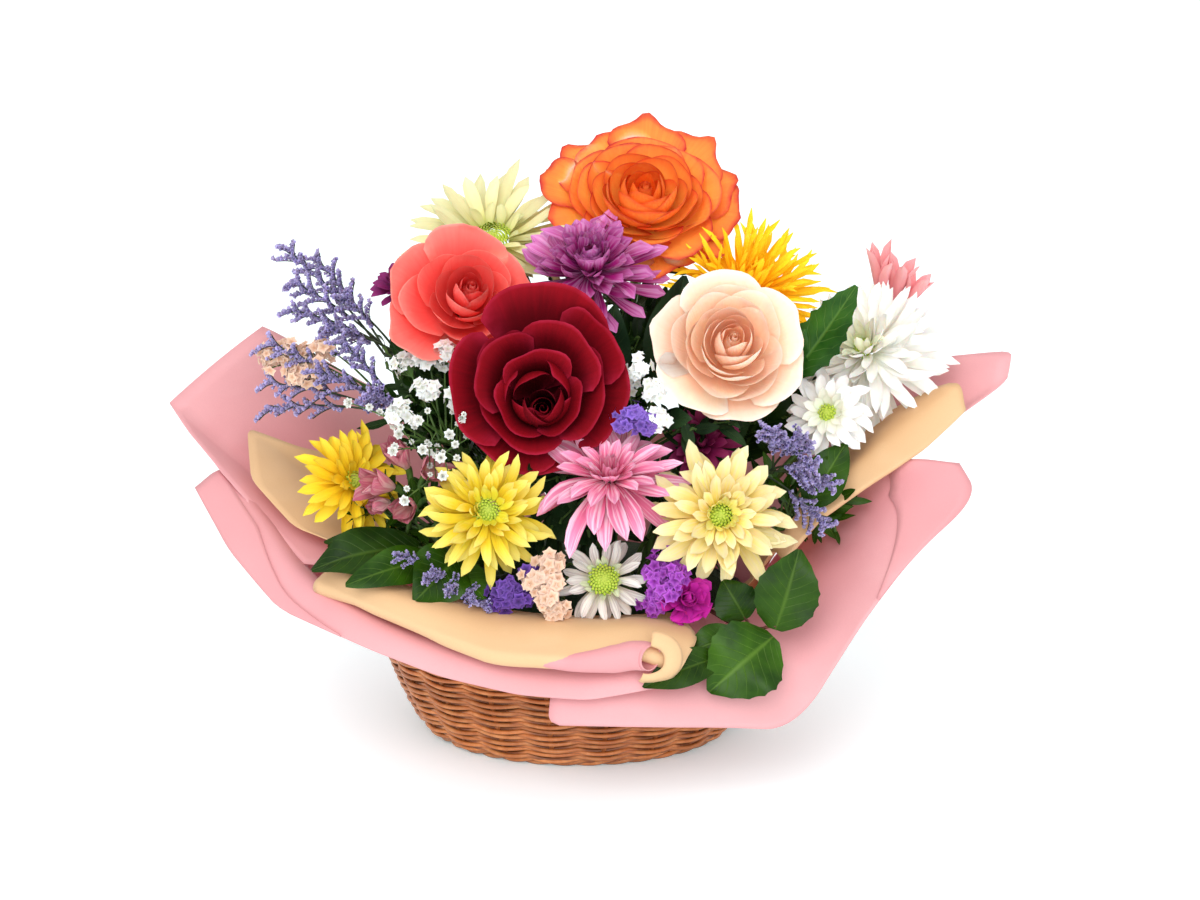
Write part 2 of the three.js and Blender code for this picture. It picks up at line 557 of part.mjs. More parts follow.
// Leafy stems: leaves by base, tip, width, the way their upper side faces, arch and notched edge.
const GREENS = [
  { name: "leaves_left", fork: [-64, -64, 118], leaves: [
    [[-84, -72, 126], [-137, -95, 119], 26, [0, -0.5, 0.9], 6, 0],
    [[-74, -76, 122], [-120, -108, 118], 22, [0.1, -0.8, 0.6], 5, 0],
    [[-68, -82, 122], [-80, -106, 113], 22, [0.2, -0.9, 0.5], 4, 0],
    [[-64, -82, 118], [-48, -106, 110], 20, [0.2, -0.9, 0.5], 2, 0],
    [[-84, -62, 124], [-134, -72, 130], 18, [0, -0.8, 0.6], 3, 0],
  ] },
  { name: "leaves_front_right", fork: [96, -108, 94], leaves: [
    [[103, -112, 95], [115, -106, 137], 34, [0.1, -0.95, 0.3], 3, 0.06],
    [[100, -114, 92], [72, -131, 66], 32, [0.1, -0.9, 0.5], 4, 0],
    [[84, -110, 91], [57, -117, 84], 20, [0, -0.8, 0.6], 3, 0],
    [[88, -104, 98], [76, -100, 118], 24, [0, -0.95, 0.3], 3, 0],
  ] },
  { name: "leaves_holly", fork: [108, -28, 198], leaves: [
    [[114, -36, 210], [147, -42, 262], 24, [-0.3, -0.95, 0.2], -3, 0.16],
    [[109, -36, 210], [120, -48, 240], 16, [0, -0.9, 0.3], 3, 0.16],
  ] },
  { name: "leaves_right", fork: [120, -56, 134], leaves: [
    [[123, -60, 145], [143, -49, 178], 24, [-0.2, -0.9, 0.4], 3, 0],
    [[124, -50, 136], [152, -32, 150], 20, [0, -0.8, 0.6], 3, 0],
  ] },
  { name: "leaves_mid", fork: [30, -22, 160], leaves: [
    [[44, -40, 186], [59, -90, 202], 15, [-0.3, -0.8, 0.5], 2, 0],
    [[42, -28, 190], [56, -40, 226], 24, [0, -1, 0.2], 3, 0],
    [[22, -26, 178], [-4, -38, 205], 26, [0, -1, 0.3], 3, 0],
    [[52, -26, 160], [92, -38, 186], 30, [0, -1, 0.4], 3, 0],
    [[10, -30, 150], [-34, -46, 172], 32, [0, -1, 0.4], 3, 0],
    [[44, -34, 140], [66, -58, 150], 28, [0, -1, 0.4], 3, 0],
    [[12, -34, 132], [-20, -62, 134], 30, [0, -1, 0.5], 3, 0],
  ] },
  { name: "leaves_back_left", fork: [-60, 30, 150], leaves: [
    [[-68, 30, 160], [-104, 40, 214], 34, [-0.3, 0.9, 0.4], 4, 0],
    [[-58, 38, 165], [-56, 62, 232], 36, [0, 0.9, 0.4], 4, 0],
    [[-64, 46, 150], [-96, 78, 168], 32, [-0.3, 0.7, 0.7], 4, 0],
    [[-64, 14, 160], [-84, -2, 216], 34, [0, -1, 0.3], 3, 0],
    [[-50, 22, 160], [-34, 8, 232], 36, [0, -1, 0.3], 3, 0],
  ] },
  { name: "leaves_back_mid", fork: [12, 40, 150], leaves: [
    [[8, 48, 162], [-12, 72, 240], 36, [-0.1, 0.95, 0.3], 4, 0],
    [[16, 48, 162], [40, 76, 236], 36, [0.1, 0.95, 0.3], 4, 0],
    [[12, 52, 150], [14, 92, 178], 34, [0, 0.7, 0.7], 4, 0],
    [[2, 26, 160], [-10, 14, 232], 34, [0, -1, 0.2], 3, 0],
    [[20, 28, 160], [32, 12, 240], 34, [0, -1, 0.2], 3, 0],
  ] },
  { name: "leaves_back_right", fork: [82, 34, 150], leaves: [
    [[90, 40, 162], [112, 60, 222], 34, [0.3, 0.9, 0.4], 4, 0],
    [[92, 38, 150], [132, 62, 176], 32, [0.3, 0.7, 0.7], 4, 0],
    [[82, 42, 160], [78, 70, 218], 32, [0, 0.9, 0.4], 4, 0],
    [[76, 22, 160], [62, 0, 226], 32, [0, -1, 0.3], 3, 0],
    [[90, 18, 150], [112, 0, 208], 34, [0, -1, 0.3], 3, 0],
  ] },
];

// Stems: each leaves its flower backwards, bends down and stands straight in the foam.

const STEM = { sides: 4, thick: 2.4, thin: 1.5, depth: 28, clear: 1.6 };
const FOOT_SPREAD = 0.46;

function stemPlan() {
  const plans = [];
  const add = (name, top, back, radius) => {
    const foot = v3(top.x * FOOT_SPREAD, top.y * FOOT_SPREAD, FOAM.top - STEM.depth);
    const path = [foot, v3(foot.x, foot.y, FOAM.top + 4)];
    const shoulder = top.clone().addScaledVector(back, 14);
    path.push(path[1].clone().lerp(shoulder, 0.5));
    path.push(shoulder, top);
    plans.push({ name, path, radius });
  };
  for (const bloom of BLOOMS) {
    const facing = v3(...bloom.facing).normalize();
    const thick = bloom.petals ? STEM.thick : STEM.thick * 0.85;
    add(bloom.name, headFoot(bloom).addScaledVector(facing, -AIR), facing.clone().negate(), thick);
  }
  for (const bloom of SMALL_BLOOMS) {
    const facing = v3(...bloom.facing).normalize();
    add(bloom.name, headFoot(bloom).addScaledVector(facing, 1), facing.clone().negate(), STEM.thin);
  }
  for (const { name, fork } of [...SPRAYS, ...GREENS]) {
    const top = v3(...fork);
    add(name, top, v3(-top.x, -top.y, -40).normalize(), STEM.thin);
  }
  return plans;
}

const headFoot = ({ at, facing, radius, height }) =>
  v3(...at).addScaledVector(v3(...facing).normalize(), height ? -0.6 * height : -0.3 * radius);

// Nearest points of two straight pieces, as their shares along each.
function nearest(a0, a1, b0, b1) {
  const [u, v, w] = [a1.clone().sub(a0), b1.clone().sub(b0), a0.clone().sub(b0)];
  const [a, b, c, d, e] = [u.dot(u), u.dot(v), v.dot(v), u.dot(w), v.dot(w)];
  const clamp = (x) => Math.min(1, Math.max(0, x));
  const spread = a * c - b * b;
  let s = spread > 1e-6 ? clamp((b * e - c * d) / spread) : 0;
  const t = clamp((b * s + e) / Math.max(c, 1e-6));
  s = clamp((b * t - d) / Math.max(a, 1e-6));
  return [s, t];
}

// Bends the stems round each other and round the blooms they pass, and keeps them inside the foam.
function bendClear(plans) {
  const globes = [...BLOOMS, ...SMALL_BLOOMS].map((bloom) => {
    const depth = bloom.height ? bloom.height * 0.1 : bloom.radius * 0.1;
    const centre = v3(...bloom.at).addScaledVector(v3(...bloom.facing).normalize(), -depth);
    return { name: bloom.name, centre, reach: bloom.radius * (bloom.height ? 0.8 : 0.7) };
  });
  const foamHalf = insideHalf(FOAM.shoulder) - LINER.inset - 12;
  for (let round = 0; round < 160; round++) {
    for (const plan of plans) {
      for (const other of plans) {
        if (other === plan) continue;
        for (let i = 0; i + 1 < plan.path.length; i++)
          for (let j = 0; j + 1 < other.path.length; j++) {
            const [a0, a1, b0, b1] = [plan.path[i], plan.path[i + 1], other.path[j], other.path[j + 1]];
            const [s, t] = nearest(a0, a1, b0, b1);
            const away = a0.clone().lerp(a1, s).sub(b0.clone().lerp(b1, t));
            away.z *= 0.2;
            const wanted = plan.radius + other.radius + STEM.clear;
            const lack = wanted - Math.max(away.length(), 1e-3);
            if (lack <= 0) continue;
            if (away.length() < 1e-3) away.set(1, 0.3, 0);
            away.normalize().multiplyScalar(lack * 0.3);
            shift(plan, i, away, 1 - s);
            shift(plan, i + 1, away, s);
          }
      }
      for (const globe of globes) {
        if (globe.name === plan.name) continue;
        for (let i = 2; i < 4; i++) {
          const away = plan.path[i].clone().sub(globe.centre);
          const lack = globe.reach + plan.radius - away.length();
          if (lack > 0) shift(plan, i, away.normalize().multiplyScalar(lack * 0.4), 1);
        }
      }
      const rim = Math.hypot(plan.path[0].x / foamHalf, plan.path[0].y / (foamHalf * BASKET.depthShare));
      if (rim > 1) for (const i of [0, 1]) plan.path[i].x /= rim, (plan.path[i].y /= rim);
    }
  }
}

// The top of a stem is fixed to its flower, and the part in the foam stays upright.
function shift(plan, i, by, share) {
  if (i >= plan.path.length - 1) return;
  const moved = by.clone().multiplyScalar(share);
  if (i < 2) {
    moved.z = 0;
    plan.path[0].add(moved);
    plan.path[1].add(moved);
  } else plan.path[i].add(moved);
}

function stemSolid(plan, extra) {
  const last = plan.path.length - 1;
  const radii = plan.path.map((_, i) => plan.radius * (i === last ? 1.5 : 1) + extra);
  const path = plan.path.map((p) => p.clone());
  if (extra) {
    path[0].z -= extra;
    path[last].addScaledVector(path[last].clone().sub(path[last - 1]).normalize(), extra);
  }
  return toManifold(tube(path, radii, STEM.sides));
}

// Sprays: florets in rows along a branch, in papery crowns at its end, or as loose dots.

// Each branch is one loft whose sections swell and narrow; a section has its place along the branch,
// its radius, how far it leans aside, and for a crown how deep the notches between its teeth are.
const BRANCHES = {
  row: { sides: 3, sections: [
    [0, 0.9, 0], [0.52, 0.9, 0], [0.62, 2.5, -1.2], [0.7, 1, 0], [0.78, 2.5, 1.2],
    [0.86, 1, 0], [0.94, 2.3, -0.8], [1, 0.7, 0],
  ] },
  dots: { sides: 4, sections: [
    [0, 0.8, 0], [0.66, 0.7, 0], [0.73, 2.4, -1], [0.8, 0.7, 0], [0.94, 2.9, 0], [1, 0.8, 0],
  ] },
  crowns: { sides: 6, sections: [[0, 0.9, 0], [0.82, 1, 0], [1, 6, 0, 0.5]], dip: 0.92 },
};

function sprayPieces({ kind, tips }, plan) {
  const { sides, sections, dip } = BRANCHES[kind];
  const pieces = [];
  tips.forEach((tipAt, n) => {
    const start = partingPoint(plan, n / tips.length);
    const tip = v3(...tipAt);
    const middle = start.clone().lerp(tip, 0.5).add(v3(0, 0, start.distanceTo(tip) * 0.12));
    const at = (t) => v3(
      ...["x", "y", "z"].map((k) => start[k] * (1 - t) ** 2 + 2 * middle[k] * t * (1 - t) + tip[k] * t * t),
    );
    const rings = sections.map(([t, radius, aside, notch = 0]) => {
      const ahead = at(t + 0.02).sub(at(t - 0.02)).normalize();
      const side = v3().crossVectors(ahead, v3(0, 1, 0)).normalize();
      const up = v3().crossVectors(side, ahead);
      return Array.from({ length: sides }, (_, i) => {
        const turn = (2 * Math.PI * i) / sides;
        const reach = radius * (i % 2 ? 1 - notch : 1);
        const point = at(t).addScaledVector(side, aside + reach * Math.cos(turn));
        return point.addScaledVector(up, reach * Math.sin(turn));
      });
    });
    pieces.push(loft(rings, dip && at(dip)));
  });
  return pieces;
}

// Where a branch leaves its stem: at the top for share 0, and lower down for the later ones.
function partingPoint({ path }, share) {
  const [shoulder, top] = path.slice(-2);
  return top.clone().lerp(shoulder, 0.1 + 0.9 * share);
}

function greenPieces({ leaves }, plan) {
  return leaves.map(([base, tip, width, face, arch, notch], n) => {
    const start = partingPoint(plan, n / leaves.length);
    return slab(leafGrid(start, v3(...base), v3(...tip), width, v3(...face), arch, notch), LEAF);
  });
}

// Everything is made in order: what comes later is trimmed clear of what is already there.

const TONES = {
  wicker: [0.72, 0.44, 0.2, 0.6],
  liner: [0.12, 0.14, 0.12, 0.5],
  foam: [0.12, 0.28, 0.13, 0.95],
  pink: [0.9, 0.6, 0.65, 0.75],
  beige: [0.87, 0.68, 0.46, 0.75],
  stem: [0.2, 0.32, 0.12, 0.6],
  leaf: [0.13, 0.32, 0.1, 0.5],
  rose_red: [0.45, 0.02, 0.05, 0.55],
  rose_blush: [0.95, 0.72, 0.62, 0.55],
  rose_coral: [0.93, 0.33, 0.28, 0.55],
  rose_orange: [0.97, 0.45, 0.08, 0.55],
  mum_cream_yellow: [0.95, 0.88, 0.5, 0.6],
  mum_yellow: [0.93, 0.82, 0.15, 0.6],
  mum_pink: [0.88, 0.45, 0.6, 0.6],
  mum_purple: [0.55, 0.2, 0.5, 0.6],
  mum_cream: [0.93, 0.92, 0.65, 0.6],
  mum_spider: [0.95, 0.7, 0.04, 0.6],
  mum_white: [0.95, 0.95, 0.9, 0.6],
  mum_white_small: [0.95, 0.95, 0.9, 0.6],
  mum_yellow_left: [0.93, 0.82, 0.15, 0.6],
  mum_white_green: [0.9, 0.92, 0.85, 0.6],
  carnation_magenta: [0.7, 0.1, 0.45, 0.6],
  mum_magenta_left: [0.55, 0.12, 0.35, 0.6],
  mum_magenta_right: [0.55, 0.12, 0.35, 0.6],
  alstroemeria_pink: [0.8, 0.5, 0.52, 0.6],
  nerine_pink: [0.93, 0.55, 0.55, 0.55],
  limonium: [0.42, 0.36, 0.62, 0.8],
  statice_white: [0.95, 0.95, 0.93, 0.8],
  statice_purple: [0.4, 0.2, 0.6, 0.8],
  statice_peach: [0.87, 0.67, 0.58, 0.8],
  gypsophila: [0.95, 0.95, 0.93, 0.8],
};

const group = new THREE.Group();
group.name = "flower_basket_arrangement";
const placed = [];

function addNode(name, tone, solid, guard) {
  const mesh = solid.getMesh();
  const positions = new Float32Array(mesh.numVert * 3);
  for (let i = 0; i < mesh.numVert; i++)
    positions.set(mesh.vertProperties.subarray(i * mesh.numProp, i * mesh.numProp + 3), i * 3);
  const geometry = new THREE.BufferGeometry();
  geometry.setAttribute("position", new THREE.BufferAttribute(positions, 3));
  geometry.setIndex(new THREE.BufferAttribute(new Uint32Array(mesh.triVerts), 1));
  geometry.computeVertexNormals();
  const [red, green, blue, roughness] = TONES[tone];
  const color = new THREE.Color().setRGB(red, green, blue, THREE.SRGBColorSpace);
  const material = new THREE.MeshStandardMaterial({ color, roughness, metalness: 0, flatShading: true });
  const node = new THREE.Mesh(geometry, material);
  node.name = name;
  group.add(node);
  placed.push({ name, guard: guard ?? solid });
  return node;
}

function boxesMeet(a, b) {
  const [p, q] = [a.boundingBox(), b.boundingBox()];
  return [0, 1, 2].every((i) => p.min[i] <= q.max[i] && q.min[i] <= p.max[i]);
}

// Cuts a solid clear of everything already placed, but for the pieces named as let through.
function trimmed(solid, except = []) {
  const guards = placed.filter((p) => !except.includes(p.name) && boxesMeet(p.guard, solid)).map((p) => p.guard);
  const cut = guards.length ? solid.subtract(join(guards)) : solid;
  return mainBody(cut).simplify(TIDY);
}

const plans = stemPlan();
bendClear(plans);
const stems = Object.fromEntries(plans.map((plan) => [plan.name, stemSolid(plan, 0)]));
const stemGuards = Object.fromEntries(plans.map((plan) => [plan.name, stemSolid(plan, AIR)]));
const holes = join(Object.values(stemGuards));
const otherStems = (name) => join(plans.filter((p) => p.name !== name).map((p) => stemGuards[p.name]));

addNode("basket", "wicker", toManifold(basket()), toManifold(basket()));
addNode("liner", "liner", toManifold(liner()));
addNode("foam", "foam", mainBody(toManifold(foam()).subtract(holes)).simplify(TIDY), toManifold(foam()));

for (const { name } of BLOOMS) addNode(`${name}_stem`, "stem", stems[name], stemGuards[name]);

for (const bloom of BLOOMS) {
  const matrix = stand(headFoot(bloom), v3(...bloom.facing), bloom.roll ?? 0);
  const pieces = bloom.petals ? roseHead(bloom) : rayHead({ ...bloom, ...MUM_WHORLS[bloom.whorls] });
  const head = join(pieces.map((p) => toManifold(p, matrix)));
  const solid = trimmed(head.subtract(otherStems(bloom.name)), [`${bloom.name}_stem`]);
  addNode(bloom.name, bloom.name, solid, barrelOf(solid, matrix));
}

for (const bloom of SMALL_BLOOMS) {
  const matrix = stand(headFoot(bloom), v3(...bloom.facing), 0);
  const pieces = rayHead({ ...bloom, ...MUM_WHORLS[bloom.whorls] }).map((p) => toManifold(p, matrix));
  const head = join(pieces).subtract(otherStems(bloom.name));
  const clear = trimmed(head);
  const solid = mainBody(clear.add(stems[bloom.name])).simplify(TIDY);
  addNode(bloom.name, bloom.name, solid, join([barrelOf(clear, matrix), stemGuards[bloom.name]]));
}

for (const sheet of SHEETS) {
  const net = sheetNet(sheet);
  const grid = sheetGrid(net, SHEET_STEPS, SHEET_STATIONS[net[0].length]);
  const solid = trimmed(toManifold(slab(grid, PAPER)).subtract(holes));
  addNode(sheet.name, sheet.tone, solid, toManifold(slab(grid, PAPER, AIR)));
}

for (const spray of [...SPRAYS, ...GREENS]) {
  const plan = plans.find((p) => p.name === spray.name);
  const pieces = spray.leaves ? greenPieces(spray, plan) : sprayPieces(spray, plan);
  const tone = spray.leaves ? "leaf" : spray.name.replace(/_(left|right|mid|front|high|low)/g, "");
  const others = otherStems(spray.name);
  const clear = pieces.map((p) => trimmed(toManifold(p).subtract(others)));
  addNode(spray.name, tone, mainBody(join([stems[spray.name], ...clear])).simplify(TIDY));
}

export default group;
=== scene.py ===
import math
from types import SimpleNamespace as Sizes

import bpy
import numpy as np
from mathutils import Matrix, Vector, noise


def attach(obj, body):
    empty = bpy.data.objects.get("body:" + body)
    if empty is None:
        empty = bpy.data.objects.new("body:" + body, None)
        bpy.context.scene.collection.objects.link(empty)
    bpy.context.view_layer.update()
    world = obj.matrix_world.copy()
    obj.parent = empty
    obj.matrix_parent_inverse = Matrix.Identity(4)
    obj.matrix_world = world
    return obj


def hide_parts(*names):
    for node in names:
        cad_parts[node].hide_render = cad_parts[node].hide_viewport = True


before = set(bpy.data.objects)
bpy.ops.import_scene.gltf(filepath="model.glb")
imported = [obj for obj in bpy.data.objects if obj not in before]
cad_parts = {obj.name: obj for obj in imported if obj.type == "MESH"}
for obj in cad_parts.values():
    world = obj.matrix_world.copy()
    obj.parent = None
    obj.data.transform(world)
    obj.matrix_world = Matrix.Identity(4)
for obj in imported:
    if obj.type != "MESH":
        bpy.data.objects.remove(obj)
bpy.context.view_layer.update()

# Driving sizes in millimetres, the same as in the CAD.

BASKET = Sizes(height=86, base_half=84, rim_half=113, depth_share=0.795, foot_tuck=5, foot_height=7)
ROOT = Sizes(outermost=104, layer_gap=2.3, low=66, high=88)
FOAM_TOP = 97
STEM = Sizes(thick=2.3, slim=1.955, thin=1.3, leaf_stalk=0.9, depth=28, crown=4, shoulder=14)
# A stem's foot is found in its CAD node: how near its points lie to the hole's depth, and how far apart.
HOLE = Sizes(near=1.5, wide=8)

# Sizes of the finer work that only this script shows, also in millimetres.

WEAVE = Sizes(
    stakes=20, stake=1.5, pitch=2.0, cane=1.25, swing=1.85, proud=1.1, dip=1.25,
    first_row=5, borders=8, samples=14)
BORDER = Sizes(strands=3, lobes=36, cane=1.5, out=1.9, up=1.5, above_foot=3.0, below_rim=3.2)
BOTTOM = Sizes(rings=16, cane=2.1, inset=6, level=3.2, wave=0.9)
PAPER_THICKNESS = 0.5
PATH_STEPS = 6
CAMERA = Sizes(aim=(12, 0, 160), distance=1600, elevation=16, lens=87.27)
# How strongly petals and paper glow by themselves, a painted glow for light shining through them, and
# the turn between petals.
PAINTED_GLOW = Sizes(petal=0.09, paper=0.06)
GOLDEN_ANGLE = 2.39996

rng = np.random.default_rng(7)


def linear(red, green, blue):
    """A colour given in screen values from 0 to 255."""
    return tuple(((c / 255 + 0.055) / 1.055) ** 2.4 for c in (red, green, blue)) + (1.0,)


class Shade:
    """A procedural material. Its marks are numbers that the meshes carry per point."""

    def __init__(self, name, roughness, **finish):
        self.material = bpy.data.materials.new(name)
        self.material.use_nodes = True
        self.nodes = self.material.node_tree.nodes
        self.links = self.material.node_tree.links
        self.surface = self.nodes["Principled BSDF"]
        self.surface.inputs["Roughness"].default_value = roughness
        for socket, value in finish.items():
            self.surface.inputs[socket.replace("_", " ")].default_value = value

    def node(self, kind, inputs, out=0, **settings):
        """Adds a node and gives one of its outputs. Inputs that are outputs of other nodes are linked."""
        node = self.nodes.new("ShaderNode" + kind)
        for key, value in settings.items():
            setattr(node, key, value)
        for key, value in inputs.items():
            if isinstance(value, bpy.types.NodeSocket):
                self.links.new(value, node.inputs[key])
            else:
                node.inputs[key].default_value = value
        return node.outputs[out]

    def mark(self, name):
        return self.node("Attribute", {}, "Fac", attribute_name=name)

    def maths(self, how, a, b=0.0):
        return self.node("Math", {0: a, 1: b}, operation=how)

    def span(self, value, low, high, to_low=0.0, to_high=1.0):
        return self.node("MapRange", {0: value, 1: low, 2: high, 3: to_low, 4: to_high})

    def vector(self, x, y, z):
        return self.node("CombineXYZ", {0: x, 1: y, 2: z})

    def times(self, a, b):
        return self.maths("MULTIPLY", a, b)

    def position(self, stretch=(1, 1, 1)):
        where = self.node("TexCoord", {}, "Object")
        return self.node("Mapping", {"Vector": where, "Scale": stretch})

    def noise(self, vector, scale, detail):
        return self.node("TexNoise", {"Vector": vector, "Scale": scale, "Detail": detail})

    def ramp(self, factor, stops):
        output = self.node("ValToRGB", {0: factor})
        ramp = output.node.color_ramp
        for i, (where, colour) in enumerate(stops):
            stop = ramp.elements[i] if i < 2 else ramp.elements.new(where)
            stop.position = where
            stop.color = linear(*colour)
        return output

    def mix(self, factor, a, b):
        a, b = (linear(*c) if isinstance(c, tuple) else c for c in (a, b))
        return self.node("Mix", {0: factor, 6: a, 7: b}, 2, data_type="RGBA")

    def vary(self, colour, amount, value):
        """Makes a colour lighter or darker by up to amount, as value goes from 0 to 1."""
        light = self.span(value, 0, 1, 1 - amount, 1 + amount)
        return self.node("HueSaturation", {"Color": colour, "Value": light})

    def finish(self, colour, height, strength, depth):
        """Connects the colour, and a height whose depth is in millimetres."""
        self.links.new(colour, self.surface.inputs["Base Color"])
        bump = self.node("Bump", {"Height": height, "Strength": strength, "Distance": depth / 1000})
        self.links.new(bump, self.surface.inputs["Normal"])
        return self.material


MARKS = ("along", "across", "layer", "tone")


class Form:
    """A mesh in the making: points in millimetres, four-sided faces and the marks of each point."""

    def __init__(self):
        self.points, self.faces, self.marks, self.skins = [], [], [], []
        self.count = 0

    def grid(self, points, loop=False, skin=0, **marks):
        """Adds rows of points with faces between them, closed along the rows if loop is set."""
        rows, columns = points.shape[:2]
        index = np.arange(rows * columns).reshape(rows, columns) + self.count
        if loop:
            index = np.hstack([index, index[:, :1]])
        corners = (index[:-1, :-1], index[:-1, 1:], index[1:, 1:], index[1:, :-1])
        faces = np.stack(corners, -1).reshape(-1, 4)
        values = np.zeros((rows, columns, len(MARKS)))
        for name, value in marks.items():
            values[:, :, MARKS.index(name)] = value
        self.points.append(points.reshape(-1, 3))
        self.marks.append(values.reshape(-1, len(MARKS)))
        self.faces.append(faces)
        self.skins.append(np.full(len(faces), skin))
        self.count += rows * columns

    def tube(self, path, radii, sides, skin=0, closed=False, **marks):
        path = vec(path)
        ahead = np.gradient(path, axis=0)
        if closed:
            ahead = np.roll(path, -1, 0) - np.roll(path, 1, 0)
        ahead /= np.linalg.norm(ahead, axis=1, keepdims=True) + 1e-9
        side = np.cross(ahead, (0.0, 0.0, 1.0) if closed else (0.13, 0.98, 0.11))
        side /= np.linalg.norm(side, axis=1, keepdims=True) + 1e-9
        up = np.cross(side, ahead)
        turn = np.linspace(0, 2 * np.pi, sides, endpoint=False)[None, :, None]
        radii = np.broadcast_to(radii, len(path))[:, None, None]
        rings = path[:, None] + radii * (np.cos(turn) * side[:, None] + np.sin(turn) * up[:, None])
        if closed:
            rings = np.concatenate([rings, rings[:1]])
        along = np.linspace(0, 1, len(rings))[:, None]
        # across is the sine of the turn round the ring, upward on the basket's closed rings; the cane shade
        # paints shade where it is low.
        own = {"along": along, "across": np.sin(turn[..., 0]), "layer": 1}
        self.grid(rings, True, skin, **{**own, **marks})

    def make(self, name, shades, nodes, thickness=0):
        mesh = bpy.data.meshes.new(name)
        points = np.concatenate(self.points) / 1000
        mesh.from_pydata(points.tolist(), [], np.concatenate(self.faces).tolist())
        for i, mark in enumerate(MARKS):
            layer = mesh.attributes.new(mark, "FLOAT", "POINT")
            layer.data.foreach_set("value", np.concatenate(self.marks)[:, i].astype(np.float32))
        for shade in shades:
            mesh.materials.append(shade)
        mesh.polygons.foreach_set("material_index", np.concatenate(self.skins).astype(np.int32))
        mesh.polygons.foreach_set("use_smooth", [True] * len(mesh.polygons))
        mesh.update()
        piece = bpy.data.objects.new(name, mesh)
        bpy.context.collection.objects.link(piece)
        if thickness:
            solidify = piece.modifiers.new("thickness", "SOLIDIFY")
            solidify.thickness = thickness / 1000
            solidify.offset = 0
        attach(piece, "root")
        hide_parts(*nodes)


def vec(point):
    return np.array(point, float)


def unit(vector):
    vector = vec(vector)
    return vector / np.linalg.norm(vector)


def stand(facing):
    """Turns a flower's own frame to where it faces: X to the viewer's right, Y up, Z outward."""
    out = unit(facing)
    right = unit(np.cross((0, 0, 1), out))
    return np.stack([right, np.cross(out, right), out], 1)


def place(points, at, turn):
    """Moves points from a flower's own frame to where it stands."""
    return np.asarray(points) @ turn.T + vec(at)


def bow(a, b, c, t):
    """A curve from a to c, drawn towards b."""
    a, b, c = (vec(p) for p in (a, b, c))
    t = vec(t)[..., None]
    return a * (1 - t) ** 2 + 2 * b * t * (1 - t) + c * t**2


def smooth_path(points):
    """A smooth path through points."""
    p = vec(points)
    p = np.vstack([2 * p[0] - p[1], p, 2 * p[-1] - p[-2]])
    path = []
    for i in range(1, len(p) - 2):
        for t in np.arange(PATH_STEPS) / PATH_STEPS:
            a = 2 * p[i] + (p[i + 1] - p[i - 1]) * t
            b = (2 * p[i - 1] - 5 * p[i] + 4 * p[i + 1] - p[i + 2]) * t**2
            c = (-p[i - 1] + 3 * p[i] - 3 * p[i + 1] + p[i + 2]) * t**3
            path.append((a + b + c) / 2)
    return np.array(path + [p[-2]])


# Materials.


def petal_shade(name, foot, middle, tip, heart=None, heart_reach=0.45, middle_at=0.5,
                edge=None, edge_width=0.12, streak=None, streak_amount=0.5, lines=16, vary=0.1,
                roughness=0.6, glow=0.3, gloss=0.2, lift=None):
    """Colours run from the petal's foot to its tip. Inside heart_reach they turn to the heart's colour."""
    s = Shade(name, roughness, Specular_IOR_Level=gloss, Subsurface_Weight=glow, Subsurface_Scale=0.006)
    s.surface.inputs["Subsurface Radius"].default_value = (1.0, 0.55, 0.4)
    # Painted glow: where lift is given, the petal gives off light of its own in that colour, brightening its
    # shaded hollows.
    if lift:
        s.surface.inputs["Emission Color"].default_value = linear(*lift)
        s.surface.inputs["Emission Strength"].default_value = PAINTED_GLOW.petal
    along, across, layer, tone = (s.mark(mark) for mark in MARKS)
    cell = s.vector(s.times(across, lines), along, s.times(tone, 37))
    fine = s.noise(cell, 1.0, 2.0)
    cloud = s.noise(s.position(), 120, 3)
    shifted = s.maths("ADD", along, s.span(fine, 0, 1, -0.16, 0.16))
    colour = s.ramp(shifted, [(0, foot), (1, tip), (middle_at, middle)])
    if streak:
        colour = s.mix(s.times(s.span(fine, 0.46, 0.62), streak_amount), colour, streak)
    if heart:
        colour = s.mix(s.span(layer, 0.0, heart_reach, 0.95, 0.0), colour, heart)
    # Rims take the edge colour. Where it is lighter than the petal, as in the red, blush and coral roses, it
    # is a painted highlight along the lips; the orange rose's crimson edge is its own colour.
    if edge:
        rim = s.maths("POWER", s.maths("ABSOLUTE", across), 6)
        rim = s.maths("MAXIMUM", rim, s.span(along, 1 - edge_width, 1.0))
        rim = s.times(rim, s.span(layer, 0.1, 0.8, 0.35, 1.0))
        colour = s.mix(s.times(rim, s.span(cloud, 0.35, 0.6, 0.45, 1.0)), colour, edge)
    colour = s.vary(s.vary(colour, vary, tone), 0.10, cloud)
    return s.finish(colour, fine, 0.35, 0.35)


